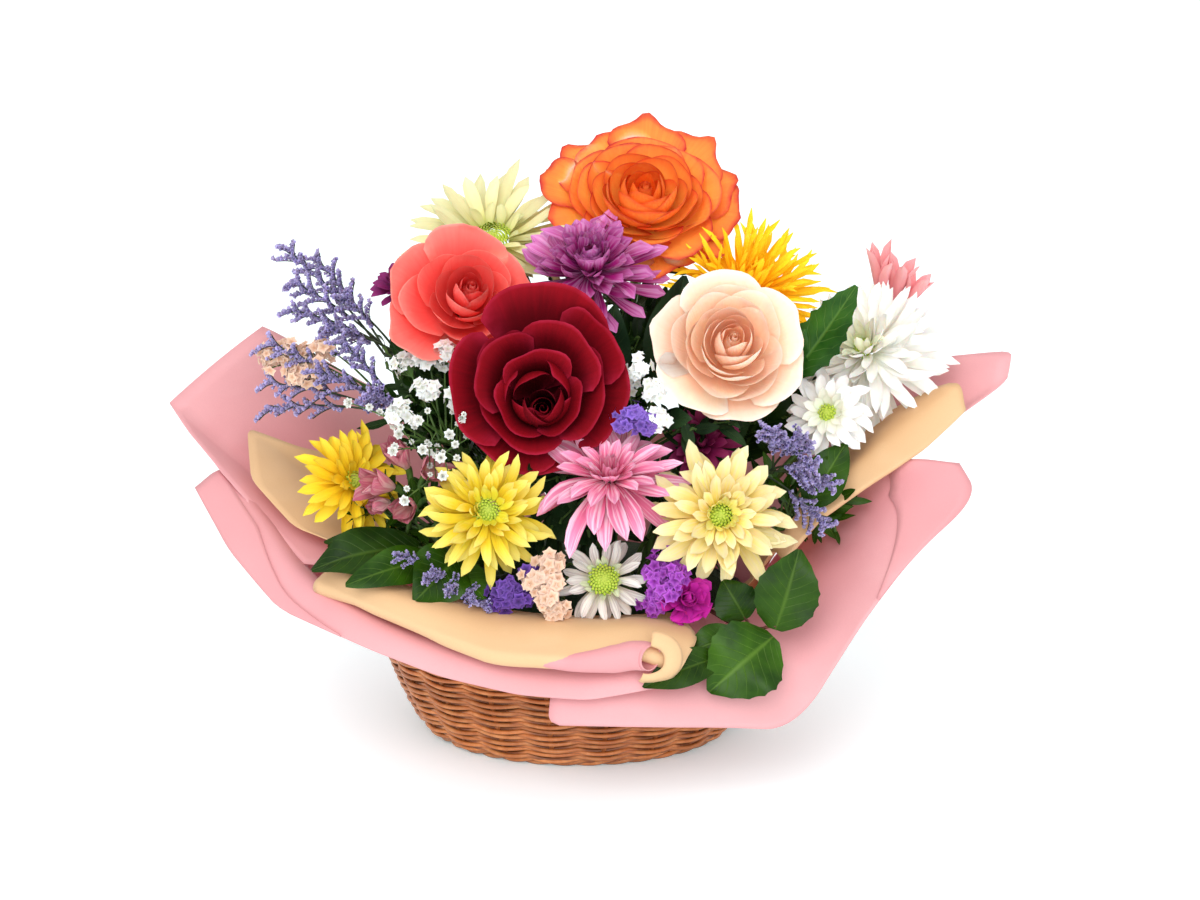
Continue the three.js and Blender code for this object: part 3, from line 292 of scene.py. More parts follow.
def leaf_shade(name, dark, light, vein, roughness=0.38):
    s = Shade(name, roughness, Specular_IOR_Level=0.16)
    along, across, tone = (s.mark(mark) for mark in ("along", "across", "tone"))
    side = s.maths("ABSOLUTE", across)
    rise = s.maths("SUBTRACT", s.times(along, 9), s.times(side, 2.2))
    ridge = s.maths("ABSOLUTE", s.maths("SUBTRACT", s.maths("FRACT", rise), 0.5))
    lateral = s.times(s.span(ridge, 0.0, 0.07, 1, 0), s.span(side, 0.2, 0.9, 1, 0.2))
    middle = s.span(side, 0.02, 0.09, 1, 0)
    cloud = s.noise(s.position(), 60, 4)
    fine = s.noise(s.position(), 900, 3)
    colour = s.mix(s.span(cloud, 0.35, 0.68), dark, light)
    colour = s.mix(s.times(s.maths("MAXIMUM", middle, lateral), 0.34), colour, vein)
    colour = s.vary(colour, 0.28, tone)
    height = s.maths("SUBTRACT", s.times(fine, 0.25), s.maths("MAXIMUM", middle, lateral))
    return s.finish(colour, height, 0.45, 0.5)


def plain_shade(name, dark, light, roughness, scale, stretch=(1, 1, 1), bump=0.3, depth=0.3, vary=0.1,
                **finish):
    s = Shade(name, roughness, **finish)
    grain = s.noise(s.position(stretch), scale, 4)
    colour = s.mix(s.span(grain, 0.35, 0.65), dark, light)
    return s.finish(s.vary(colour, vary, s.mark("tone")), grain, bump, depth)


def cane_shade():
    s = Shade("willow_cane", 0.42, Specular_IOR_Level=0.5, Coat_Weight=0.12)
    along, across, layer, tone = (s.mark(mark) for mark in MARKS)
    grain = s.noise(s.vector(s.times(along, 90), s.times(tone, 91), 0), 1, 4)
    patch = s.noise(s.position(), 35, 3)
    canes = [(0, (170, 94, 42)), (1, (210, 138, 80)), (0.5, (191, 114, 58))]
    colour = s.ramp(s.span(grain, 0.3, 0.7), canes)
    colour = s.mix(s.span(patch, 0.42, 0.7, 0, 0.4), colour, (166, 88, 38))
    # Painted shade: each cane turns deep brown on its underside, and where it passes behind a stake.
    painted_shade = s.maths("MAXIMUM", s.span(across, -0.35, -0.95), s.span(layer, 0.5, 0.2))
    colour = s.mix(s.times(painted_shade, 0.8), colour, (112, 56, 24))
    return s.finish(s.vary(colour, 0.16, tone), grain, 0.2, 0.25)


def paper_shade(name, colour, deep, pale, lift):
    # Painted glow: the paper gives off a little light of its own in the lift colour, brightening its shaded
    # folds.
    s = Shade(name, 0.62, Specular_IOR_Level=0.3, Sheen_Weight=0.1,
              Emission_Color=linear(*lift), Emission_Strength=PAINTED_GLOW.paper)
    cloud = s.noise(s.position(), 9, 3)
    fibre = s.noise(s.position(), 1500, 3)
    wash = s.mix(s.span(cloud, 0.35, 0.65), deep, colour)
    # Painted highlight: the sheet turns paler towards its free edge, where it is lit.
    wash = s.mix(s.span(s.mark("along"), 0.55, 1.0, 0, 0.6), wash, pale)
    wash = s.mix(s.span(s.noise(s.position((1, 1, 2)), 22, 4), 0.5, 0.75, 0, 0.5), wash, pale)
    wash = s.vary(wash, 0.05, fibre)
    return s.finish(wash, fibre, 0.12, 0.1)


CANE = cane_shade()
# The last colour of each paper is that of its painted glow.
PINK_PAPER = paper_shade("pink_paper", (215, 151, 154), (207, 136, 141), (223, 169, 172), (236, 120, 134))
BEIGE_PAPER = paper_shade("beige_paper", (212, 171, 125), (201, 154, 107), (221, 187, 146), (230, 150, 84))
STALK = plain_shade("green_stalk", (52, 84, 34), (92, 126, 56), 0.5, 300, (1, 1, 0.2))
DARK_STALK = plain_shade("dark_stalk", (30, 44, 26), (58, 76, 42), 0.55, 300, (1, 1, 0.2))
BROWN_STALK = plain_shade("brown_stalk", (78, 40, 34), (112, 66, 48), 0.5, 300, (1, 1, 0.2))
DEEP_LEAF = leaf_shade("deep_leaf", (22, 46, 14), (42, 74, 24), (84, 116, 50))
FRESH_LEAF = leaf_shade("fresh_leaf", (24, 52, 4), (48, 82, 10), (98, 130, 46))
GLOSSY_LEAF = leaf_shade("glossy_leaf", (24, 60, 14), (50, 90, 26), (104, 140, 62), 0.28)
FILL_LEAF = leaf_shade("fill_leaf", (18, 40, 20), (40, 66, 32), (60, 84, 42), 0.5)
LIME_HEART = petal_shade("lime_heart", (112, 154, 30), (170, 202, 56), (222, 234, 100))

# Petals and florets: the slot, the material's name, the colours of foot, middle and tip, for some the
# colour of the heart and how far it reaches, then what else is special. lift there is the colour of a
# painted glow, and an edge lighter than the petal is a painted highlight along its lips.
PETALS = {
    "rose_red": (
        "petal_red", "rose_red_petal", (56, 0, 8), (98, 1, 15), (138, 4, 22), (66, 0, 14), 0.45,
        dict(middle_at=0.6, edge=(168, 30, 58), edge_width=0.07, roughness=0.7, vary=0.08, glow=0.1,
             gloss=0.1)),
    "rose_blush": (
        "petal_blush", "rose_blush_petal", (249, 200, 172), (248, 214, 190), (247, 225, 207),
        (250, 192, 160), 0.6,
        dict(middle_at=0.55, edge=(250, 236, 222), edge_width=0.1, glow=0.6, lift=(225, 160, 122))),
    "rose_coral": (
        "petal_coral", "rose_coral_petal", (240, 80, 76), (250, 102, 95), (255, 124, 114), (240, 72, 70),
        0.45, dict(middle_at=0.55, edge=(255, 160, 148), edge_width=0.05, glow=0.5, lift=(130, 20, 20))),
    "rose_orange": (
        "petal_orange", "rose_orange_petal", (255, 190, 88), (254, 162, 68), (250, 122, 58), (250, 116, 30),
        0.45, dict(middle_at=0.6, edge=(190, 20, 48), edge_width=0.1, glow=0.5, lift=(170, 60, 0))),
    "mum_cream_yellow": (
        "petal_cream_yellow", "cream_yellow_petal", (238, 206, 70), (244, 222, 136), (246, 235, 192),
        (226, 220, 86), 0.35, dict(streak=(240, 216, 176), lines=5, vary=0.14)),
    "mum_yellow": (
        "petal_yellow", "lemon_petal", (218, 184, 30), (231, 200, 42), (243, 226, 124), (226, 226, 66),
        0.35, dict(lines=6)),
    "mum_pink": (
        "petal_pink", "pink_petal", (196, 66, 106), (226, 116, 154), (240, 160, 194), (206, 66, 104), 0.3,
        dict(streak=(253, 230, 240), streak_amount=0.55, lines=4)),
    "mum_purple": (
        "petal_purple", "purple_petal", (114, 6, 80), (170, 28, 120), (220, 126, 194), (138, 24, 108), 0.75,
        dict(middle_at=0.6, streak=(236, 194, 232), streak_amount=0.3, lines=4, roughness=0.34, gloss=0.5)),
    "mum_cream": (
        "petal_cream", "cream_petal", (200, 202, 108), (226, 220, 162), (235, 230, 184), (180, 200, 70),
        0.3, dict(middle_at=0.4, lines=6)),
    "mum_spider": (
        "petal_golden", "golden_quill", (240, 160, 8), (254, 202, 18), (255, 226, 50), (248, 182, 10), 0.3,
        dict(lift=(255, 160, 0))),
    "mum_white": (
        "petal_white", "white_petal", (238, 234, 208), (252, 248, 240), (255, 252, 248), (232, 236, 176),
        0.3, dict(middle_at=0.4, lines=6, glow=0.5, lift=(110, 104, 88))),
    "mum_white_small": (
        "petal_white", "white_small_petal", (232, 232, 186), (246, 242, 236), (252, 248, 246),
        (222, 234, 140), 0.4, dict(middle_at=0.4)),
    "mum_yellow_left": (
        "petal_yellow", "deep_yellow_petal", (214, 170, 16), (246, 206, 34), (252, 222, 70), (200, 196, 40),
        0.3, dict(lines=6)),
    "mum_white_green": (
        "petal_white", "white_shaded_petal", (206, 206, 150), (228, 220, 212), (240, 234, 228),
        (190, 212, 92), 0.5, dict(middle_at=0.45, streak=(168, 148, 150), streak_amount=0.55, lines=4)),
    "carnation_magenta": (
        "petal_fuchsia", "carnation_petal", (134, 14, 108), (178, 24, 142), (208, 44, 168), (140, 12, 110),
        0.4, {}),
    "mum_magenta_left": (
        "petal_magenta", "plum_petal", (92, 18, 70), (126, 32, 96), (160, 60, 128), (96, 18, 70), 0.5, {}),
    "mum_magenta_right": (
        "petal_magenta", "wine_petal", (92, 10, 52), (134, 24, 80), (170, 62, 112), (90, 10, 50), 0.5, {}),
    "alstroemeria_pink": (
        "petal_dusky_rose", "dusky_rose_petal", (226, 172, 160), (206, 122, 134), (196, 96, 124),
        (172, 66, 98), 0.3, dict(streak=(238, 202, 190), lines=5)),
    "nerine_pink": (
        "petal_salmon", "nerine_petal", (208, 100, 112), (238, 154, 158), (248, 184, 186), (198, 76, 98),
        0.25, dict(lift=(200, 130, 130))),
    "lavender": (
        "floret_lavender", "lavender_floret", (100, 88, 138), (148, 134, 186), (198, 186, 224),
        dict(vary=0.25)),
    "white": (
        "floret_white", "white_floret", (216, 216, 190), (243, 241, 234), (252, 251, 248), dict(vary=0.08)),
    "violet_mid": (
        "floret_violet", "violet_floret", (82, 56, 130), (112, 78, 172), (146, 108, 204), dict(vary=0.25)),
    "violet_front": (
        "floret_violet", "bright_violet_floret", (110, 32, 124), (146, 54, 168), (184, 92, 204),
        dict(vary=0.25)),
    "violet_left": (
        "floret_violet", "deep_violet_floret", (52, 28, 92), (82, 48, 130), (116, 76, 168), dict(vary=0.3)),
    "peach": (
        "floret_peach", "peach_floret", (206, 152, 120), (230, 184, 156), (242, 206, 184), dict(vary=0.12)),
}
SHADES = {kind: petal_shade(*look, **special) for kind, (_, *look, special) in PETALS.items()}

# Basket: canes woven in and out of upright stakes, with a twisted border at rim and foot.


def basket_half(z):
    swell = np.sin(np.clip(z / BASKET.height, 0, 1) * np.pi / 2) ** 0.9
    tuck = np.clip(1 - z / BASKET.foot_height, 0, None)
    return BASKET.base_half + (BASKET.rim_half - BASKET.base_half) * swell - BASKET.foot_tuck * tuck


def ellipse(half, angle, z):
    half, angle, z = np.broadcast_arrays(half, angle, z)
    return np.stack([half * np.cos(angle), half * BASKET.depth_share * np.sin(angle), z], -1)


def basket():
    form = Form()
    turns = np.linspace(0, 2 * np.pi, WEAVE.stakes * WEAVE.samples, endpoint=False)
    wall = WEAVE.cane + WEAVE.swing - WEAVE.proud
    for row in range(int((BASKET.height - WEAVE.borders) / WEAVE.pitch)):
        z = WEAVE.first_row + row * WEAVE.pitch
        weave = np.sin(turns * WEAVE.stakes / 2 + np.pi * row)
        drift = 0.35 * np.sin(turns * 5 + row * 1.7) + 0.25 * np.sin(turns * 11 + row * 0.9)
        level = z + drift - WEAVE.dip * np.where(weave > 0, weave, -2 * weave)
        path = ellipse(basket_half(z) - wall + WEAVE.swing * weave, turns, level)
        thick = WEAVE.cane * rng.uniform(0.95, 1.03)
        # layer: how far a cane stands in front of the stakes, from 0 behind to 1 in front; the cane shade
        # paints shade on it behind them.
        proud = np.append(weave, weave[0])[:, None] / 2 + 0.5
        form.tube(path, thick, 7, closed=True, layer=proud, tone=rng.random())
    for k in range(WEAVE.stakes):
        z = np.linspace(2, BASKET.height - 2, 12)
        angle = 2 * np.pi * (k + 0.5) / WEAVE.stakes
        form.tube(ellipse(basket_half(z) - wall, angle, z), WEAVE.stake, 6, tone=rng.random())
    for level in (BORDER.above_foot, BASKET.height - BORDER.below_rim):
        for strand in range(BORDER.strands):
            phase = turns * BORDER.lobes / BORDER.strands + 2 * np.pi * strand / BORDER.strands
            half = basket_half(level) - wall + BORDER.out * np.cos(phase)
            path = ellipse(half, turns, level + BORDER.up * np.sin(phase))
            form.tube(path, BORDER.cane, 5, closed=True, tone=rng.random())
    reach = BASKET.base_half - BASKET.foot_tuck - BOTTOM.inset
    for ring in range(BOTTOM.rings):
        half = reach * (ring + 1) / (BOTTOM.rings + 0.5)
        level = BOTTOM.level + BOTTOM.wave * np.sin(turns * 9 + np.pi * ring)
        form.tube(ellipse(half, turns, level)[::2], BOTTOM.cane, 5, closed=True, tone=rng.random())
    form.make("woven_basket", [CANE], ["basket"])


# Paper sheets: each column is a bearing round the rim in degrees, then the points out to the free edge.

SHEETS = {
    "paper_pink_back_left": (2, [
        [96, (-24, 97, 112), (-40, 106, 134)], [128, (-95, 88, 128), (-124, 98, 172)],
        [150, (-133, 62, 140), (-180, 70, 213)], [175, (-165, 28, 124), (-230, 40, 176)],
        [200, (-134, -14, 117), (-186, -12, 139)], [220, (-104, -51, 105), (-147, -54, 112)]]),
    "paper_pink_front_right": (0, [
        [269, (-8, -105, 80), (-13, -128, 68), (-15, -135, 51)],
        [285, (34, -106, 80), (38, -126, 66), (40, -133, 49)],
        [302, (66, -96, 83), (76, -118, 71), (80, -128, 47)],
        [317, (96, -80, 88), (112, -104, 72), (114, -121, 43)],
        [332, (115, -62, 98), (134, -84, 96), (144, -101, 87)],
        [345, (130, -44, 114), (155, -67, 124), (177, -83, 127)],
        [355, (140, -28, 129), (174, -49, 151), (213, -61, 152)],
        [362, (140, -18, 136), (172, -37, 164), (204, -47, 166)]]),
    "paper_pink_front_left": (1, [
        [190, (-152, 6, 104), (-194, 8, 146), (-211, -4, 139)],
        [210, (-142, -30, 97), (-172, -30, 130), (-188, -42, 115)],
        [228, (-112, -66, 89), (-148, -68, 111), (-158, -79, 95)],
        [246, (-72, -90, 88), (-98, -109, 93), (-106, -114, 84)],
        [260, (-40, -103, 89), (-62, -124, 84), (-70, -128, 75)],
        [272, (-8, -106, 89), (-24, -130, 77), (-30, -136, 68)],
        [282, (18, -107, 89), (10, -132, 76), (6, -138, 66)],
        [291, (40, -105, 89), (42, -130, 80), (43, -136, 72)]]),
    "paper_pink_back_right": (1, [
        [-6, (142, -6, 142), (184, -19, 168)], [9, (160, 10, 150), (235, 5, 198)],
        [22, (158, 30, 164), (238, 12, 213)], [41, (135, 60, 160), (193, 35, 203)],
        [62, (88, 92, 140), (128, 86, 178)], [90, (12, 100, 118), (24, 108, 140)]]),
    "paper_beige_left": (3, [
        [150, (-108, 42, 116), (-126, 38, 144)], [168, (-128, 20, 121), (-156, 27, 154)],
        [186, (-136, 6, 129), (-184, 23, 166)], [203, (-120, -20, 123), (-178, -18, 149)],
        [217, (-98, -42, 112), (-152, -46, 130)], [230, (-84, -57, 108), (-112, -60, 120)]]),
    "paper_beige_front": (2, [
        [226, (-96, -66, 104), (-131, -75, 115), (-137, -80, 112)],
        [236, (-86, -80, 107), (-118, -89, 117), (-114, -101, 108)],
        [248, (-62, -92, 104), (-82, -110, 110), (-76, -124, 100)],
        [262, (-30, -100, 100), (-45, -119, 102), (-44, -136, 93)],
        [277, (5, -103, 98), (0, -124, 100), (2, -141, 91)],
        [289, (32, -101, 98), (34, -122, 101), (34, -137, 96)],
        [299, (55, -92, 94), (62, -116, 92), (56, -134, 86)]]),
    "paper_beige_right": (2, [
        [320, (92, -62, 104), (104, -70, 124), (108, -76, 122)],
        [333, (108, -46, 118), (124, -54, 148), (129, -63, 142)],
        [346, (124, -28, 134), (150, -41, 165), (156, -52, 158)],
        [360, (134, -8, 146), (170, -31, 180), (184, -40, 173)],
        [373, (140, 10, 154), (205, -16, 202), (209, -24, 191)]]),
}

# How closely the free edge keeps to straight lines between its columns, and the points in each gap.
EDGE_FIRMNESS = 0.85
GAP_POINTS = 9
# Soft folds: how close broad and fine ones are, the share of the fine ones, then their depth and level.
FOLD = Sizes(broad=0.021, fine=0.06, fine_share=0.15, depth=1.6, level=0.35)
# How many points wide the columns are evened out.
ROUNDING = {"paper_pink_front_right": 4, "paper_pink_back_left": 0}
# Where the free edge is rolled under: radius and degrees.
HEMS = {"paper_beige_front": (4.5, 200), "paper_beige_right": (1.5, 180)}
HEM_ROWS = 12
# Where the free edge is folded back over the sheet: first and last column, width in stations.
LAPELS = {"paper_pink_front_right": (4.4, 7, 1.15), "paper_pink_front_left": (0, 2.7, 0.8)}
# Where the first corner of the free edge is rounded: points across and outward.
CORNERS = {"paper_pink_front_right": (1, 3)}
# Where the front papers meet, the pink one ends in a roll and the beige one curls round it.
ROLL = Sizes(
    path=[(-34, -137, 88), (-4, -139, 87), (18, -137, 88), (28, -136, 89.5), (35, -138, 90), (38, -141, 90)],
    radii=[1, 4.4, 7, 7.4, 7.4, 6.6])
CURL = Sizes(centre=(37, -141, 89), inner=7.5, outer=16, start=84, end=-112)


def through(points, stations):
    """Points at the stations of an even-paced curve through points, whose knots are spaced by distance."""
    p = vec(points)
    p = np.concatenate([2 * p[:1] - p[1:2], p, 2 * p[-1:] - p[-2:-1]])
    result = []
    for station in stations:
        i = min(int(station), len(p) - 4)
        a, b, c, d = p[i : i + 4]
        gaps = [max(np.linalg.norm(v), 1e-4) ** 0.5 for v in (b - a, c - b, d - c)]
        leave = (b - a) / gaps[0] - (c - a) / (gaps[0] + gaps[1]) + (c - b) / gaps[1]
        reach = (c - b) / gaps[1] - (d - b) / (gaps[1] + gaps[2]) + (d - c) / gaps[2]
        m, n, t = leave * gaps[1], reach * gaps[1], station - i
        result.append(b + m * t + (3 * (c - b) - 2 * m - n) * t**2 + (2 * (b - c) + m + n) * t**3)
    return np.array(result)


def rolled_end(form):
    path = smooth_path(ROLL.path)
    form.tube(path, np.interp(np.linspace(0, 5, len(path)), range(6), ROLL.radii), 24, 1, along=0.2)
    turn = np.radians(np.linspace(CURL.start, CURL.end, 26))[:, None]
    share = np.linspace(0, 1, 8)[None]
    reach = CURL.inner + (CURL.outer - CURL.inner) * share * (0.8 + 0.25 * np.cos(turn))
    depth = 3.5 * share - 1.6 * np.sin(share * np.pi) + 0.5 * np.sin(turn * 4)
    offset = np.stack([reach * np.cos(turn) * 1.05, depth, reach * np.sin(turn)], -1)
    form.grid(np.array(CURL.centre) + offset, along=0.9)


def lapel(form, points, normals, stations, across, first, last, width):
    """The free edge folded back: a strip that lies on the sheet and lifts towards its inner edge."""
    rows = []
    for k in np.linspace(0, 1, 8):
        row = []
        for c in np.flatnonzero((across >= first) & (across <= last)):
            from_end = across[c] - first if first else last - across[c]
            station = stations[-1] - width * min(1, from_end / 1.6 + 0.02) * k
            at = [np.interp(station, stations, points[:, c, axis]) for axis in range(3)]
            row.append(np.array(at) + normals[-1, c] * (0.5 + 2.0 * k * (1.4 - k)))
        rows.append(row)
    form.grid(np.array(rows), along=0.7, across=0.5)


def round_corner(points, wide, deep):
    """Draws the first corner of the free edge in along a quarter of an ellipse."""
    top = points.shape[0] - 1 - deep
    result = points.copy()
    for r in range(deep + 1):
        for c in range(wide + 1):
            u, v = 1 - c / wide, r / deep
            row = top + deep * v * math.sqrt(1 - u * u / 2)
            column = wide * (1 - u * math.sqrt(1 - v * v / 2))
            i, j = min(int(row), top + deep - 1), int(column)
            a, b = row - i, column - j
            above = points[i, j] * (1 - b) + points[i, j + 1] * b
            below = points[i + 1, j] * (1 - b) + points[i + 1, j + 1] * b
            result[top + r, c] = above * (1 - a) + below * a
    return result


def sheet_points(columns, layer, blur):
    """Rows of points from the root to the free edge, with the station of each row and column."""
    half = ROOT.outermost - ROOT.layer_gap * layer
    net = []
    for bearing, *outward in columns:
        roots = [ellipse(half, math.radians(bearing), z) for z in (ROOT.low, ROOT.high)]
        net.append(np.array([*roots, *outward], float))
    last = len(net[0]) - 1
    stations = np.concatenate([[0, 0.5], np.linspace(1, last, GAP_POINTS * (last - 1) + 1)])
    lines = []
    for column in net:
        straight = [column[0] + (column[1] - column[0]) * s for s in stations if s < 1]
        lines.append(np.vstack([straight, through(column, [s for s in stations if s >= 1])]))
    lines = np.stack(lines, 1)
    across = np.linspace(0, len(net) - 1, GAP_POINTS * (len(net) - 1) + 1)
    curved = np.stack([through(row, across) for row in lines])
    left = np.minimum(across.astype(int), len(net) - 2)
    share = (across - left)[None, :, None]
    straight = lines[:, left] * (1 - share) + lines[:, left + 1] * share
    firm = EDGE_FIRMNESS * (stations[:, None, None] / last) ** 2
    points = curved * (1 - firm) + straight * firm
    if blur:
        padded = np.pad(points, ((0, 0), (blur, blur), (0, 0)), "reflect", reflect_type="odd")
        points = np.mean([padded[:, k : k + points.shape[1]] for k in range(2 * blur + 1)], 0)
    return points, stations, across


def fold_softly(points, normals, stations, layer):
    for r, station in enumerate(stations):
        loose = min(1, max(0, station - 1) * 1.2)
        for c in range(points.shape[1]):
            p = Vector(points[r, c])
            fold = noise.noise(p * FOLD.broad + Vector((layer * 9, 0, 0)))
            fold += FOLD.fine_share * noise.noise(p * FOLD.fine)
            points[r, c] += normals[r, c] * loose * (abs(fold) * FOLD.depth - FOLD.level)


def hem(points, normals, radius, degrees):
    ahead = points[-1] - points[-2]
    ahead /= np.linalg.norm(ahead, axis=1, keepdims=True)
    angles = np.radians(np.linspace(15, degrees, HEM_ROWS))[:, None, None]
    return points[-1] + radius * (np.sin(angles) * ahead - (1 - np.cos(angles)) * normals[-1])


def paper(name, shade, slot):
    layer, columns = SHEETS[name]
    points, stations, across = sheet_points(columns, layer, ROUNDING.get(name, 1))
    normals = np.cross(np.gradient(points, axis=0), np.gradient(points, axis=1))
    normals /= np.linalg.norm(normals, axis=2, keepdims=True) + 1e-9
    fold_softly(points, normals, stations, layer)
    if name in CORNERS:
        points = round_corner(points, *CORNERS[name])
    form = Form()
    if name in LAPELS:
        lapel(form, points, normals, stations, across, *LAPELS[name])
    # along runs from the root to the free edge; the paper shade paints a highlight as it nears 1, and the
    # hem rows get all of it.
    along = stations / stations[-1]
    if name in HEMS:
        points = np.concatenate([points, hem(points, normals, *HEMS[name])])
        along = np.concatenate([along, np.ones(HEM_ROWS)])
    form.grid(points, along=along[:, None], across=(across / across[-1])[None])
    if name == "paper_beige_front":
        rolled_end(form)
    form.make(name + "_sheet", [shade, PINK_PAPER], [name], PAPER_THICKNESS)


# Flowers. A bloom's foot lies under its place by a share of a rose's height or of another head's radius.

ROSE_DEPTH = 0.6
MUM_DEPTH = 0.3
ROSE_MESH = Sizes(rows=15, columns=17)
BUD = Sizes(turns=2.7, rows=8, columns=80)
SEPALS = Sizes(count=5, step=1.2566, turn=0.3, start=0.16, length=0.75, width=5, lift=8)


def rose_petal(form, at, turn, heading, foot, belly, lip, low, top, span, curl, layer,
               ruffle, tip, twist, droop, corner, tuck):
    """One cupped petal, whose sides stand lower than its middle and whose lip may roll outward."""
    t = np.linspace(0, 1, ROSE_MESH.rows)[:, None]
    a = np.linspace(-1, 1, ROSE_MESH.columns)[None]
    phase, tone = rng.uniform(0, 6.3), rng.random()
    rise = t * (1 - droop * np.abs(a) ** corner) * (1 + tip * np.exp(-((a / 0.2) ** 2)) * t**6)
    lean = rng.uniform(-0.7, 0.7)
    reach = foot * (1 - rise) ** 2 + 2 * belly * rise * (1 - rise) + lip * rise**2
    rolled = np.clip((rise - 0.6) / 0.4, 0, 1.25)
    flare = 0.45 + 0.75 * np.abs(a) ** 1.5 + 0.6 * lean * a
    reach = reach + curl * rolled**2 * flare + twist * a * rise * lip * 0.5
    reach = reach * (1 - tuck * a**2 * rise)
    reach = reach + ruffle * (np.sin(a * 3.7 + phase) * rise**3 + 0.5 * np.sin(a * 8 + phase * 2) * rise**5)
    height = low + (top - low) * np.clip(rise, 0, 1.2) ** 0.82 - 0.5 * curl * rolled**2.4
    height = height + 0.8 * ruffle * np.cos(a * 4.5 + phase) * rise**3 + 2.2 * ruffle * lean * a * rise**2
    width = span * (0.42 + 0.58 * np.sin(np.clip(t / 0.6, 0, 1) * np.pi / 2))
    angle = heading + a * width
    points = np.stack([reach * np.cos(angle), reach * np.sin(angle), height], -1)
    form.grid(place(points, at, turn), along=t, across=a, layer=layer, tone=tone)


# The heart's place is a shift across the bloom in its own frame. Great petals are extra ones, given by
# heading in degrees, reach, height and half width.
ROSES = {
    "rose_red": Sizes(
        at=(-21, -72, 217), facing=(0.02, -0.92, 0.38), radius=39.5, height=46, petals=8,
        curl=0.1, bud=0.21, turn=1.3, tip=0.02, heart=(3, -15), spread=0.36, crowding=0.9,
        great=[
            (80, 1.24, 0.8, 0.72), (34, 1.1, 0.82, 0.5), (134, 0.8, 0.78, 0.46), (186, 1.1, 0.7, 0.7),
            (236, 1.1, 0.52, 0.72), (292, 1.1, 0.46, 0.72), (345, 1.14, 0.72, 0.6), (152, 0.76, 0.92, 0.8),
            (52, 0.8, 1.0, 0.8), (350, 0.84, 0.88, 0.8), (236, 0.76, 0.7, 0.9), (96, 0.52, 0.94, 0.9),
            (330, 0.5, 0.84, 0.9), (214, 0.52, 0.8, 0.9)]),
    "rose_blush": Sizes(
        at=(80, -58, 234), facing=(0.05, -0.86, 0.5), radius=36, height=48, petals=25,
        curl=0.15, bud=0.15, turn=0.4, tip=0.05, heart=(1, 0), spread=0.9, crowding=1.0,
        great=[
            (95, 1.04, 0.66, 0.6), (165, 1.05, 0.6, 0.6), (25, 1.02, 0.66, 0.6), (280, 1.04, 0.5, 0.6),
            (225, 1.04, 0.56, 0.6), (335, 1.04, 0.56, 0.6)]),
    "rose_coral": Sizes(
        at=(-62, -26, 253), facing=(0.1, -0.8, 0.55), radius=34.5, height=40, petals=18,
        curl=0.17, bud=0.17, turn=2.6, tip=0.13, heart=(5, 1), spread=0.9, crowding=1.05,
        great=[
            (80, 1.08, 0.66, 0.6), (150, 1.04, 0.56, 0.6), (212, 1.1, 0.54, 0.56), (282, 1.0, 0.5, 0.6),
            (15, 1.0, 0.62, 0.66)]),
    "rose_orange": Sizes(
        at=(36, 30, 297), facing=(0.05, -0.62, 0.78), radius=46.5, height=32, petals=34,
        curl=0.13, bud=0.13, turn=1.2, tip=0.14, heart=(0, -2), spread=0.93, crowding=0.95,
        great=[
            (164, 1.12, 0.66, 0.3), (140, 1.0, 0.6, 0.46), (83, 1.06, 0.66, 0.42), (112, 0.98, 0.6, 0.5),
            (44, 1.06, 0.6, 0.42), (352, 1.06, 0.46, 0.42), (196, 0.98, 0.46, 0.5), (232, 0.96, 0.42, 0.6),
            (276, 0.98, 0.4, 0.6), (318, 1.0, 0.4, 0.5), (18, 1.0, 0.5, 0.5)]),
}


def bud(form, at, turn, radius, height):
    """The heart of a rose: a petal wound round itself."""
    t = np.linspace(0, 1, BUD.rows)[:, None]
    a = np.linspace(0, 1, BUD.columns)[None]
    angle = a * 2 * BUD.turns * np.pi
    reach = radius * (0.08 + 0.92 * a) * (1.1 - 0.36 * t**4) * (1 + 0.08 * np.sin(angle * 1.5))
    level = height * t * (1 - 0.16 * a)
    points = np.stack([reach * np.cos(angle), reach * np.sin(angle), level], -1)
    form.grid(place(points, at, turn), along=t, across=0.2, layer=0.3, tone=0.5)


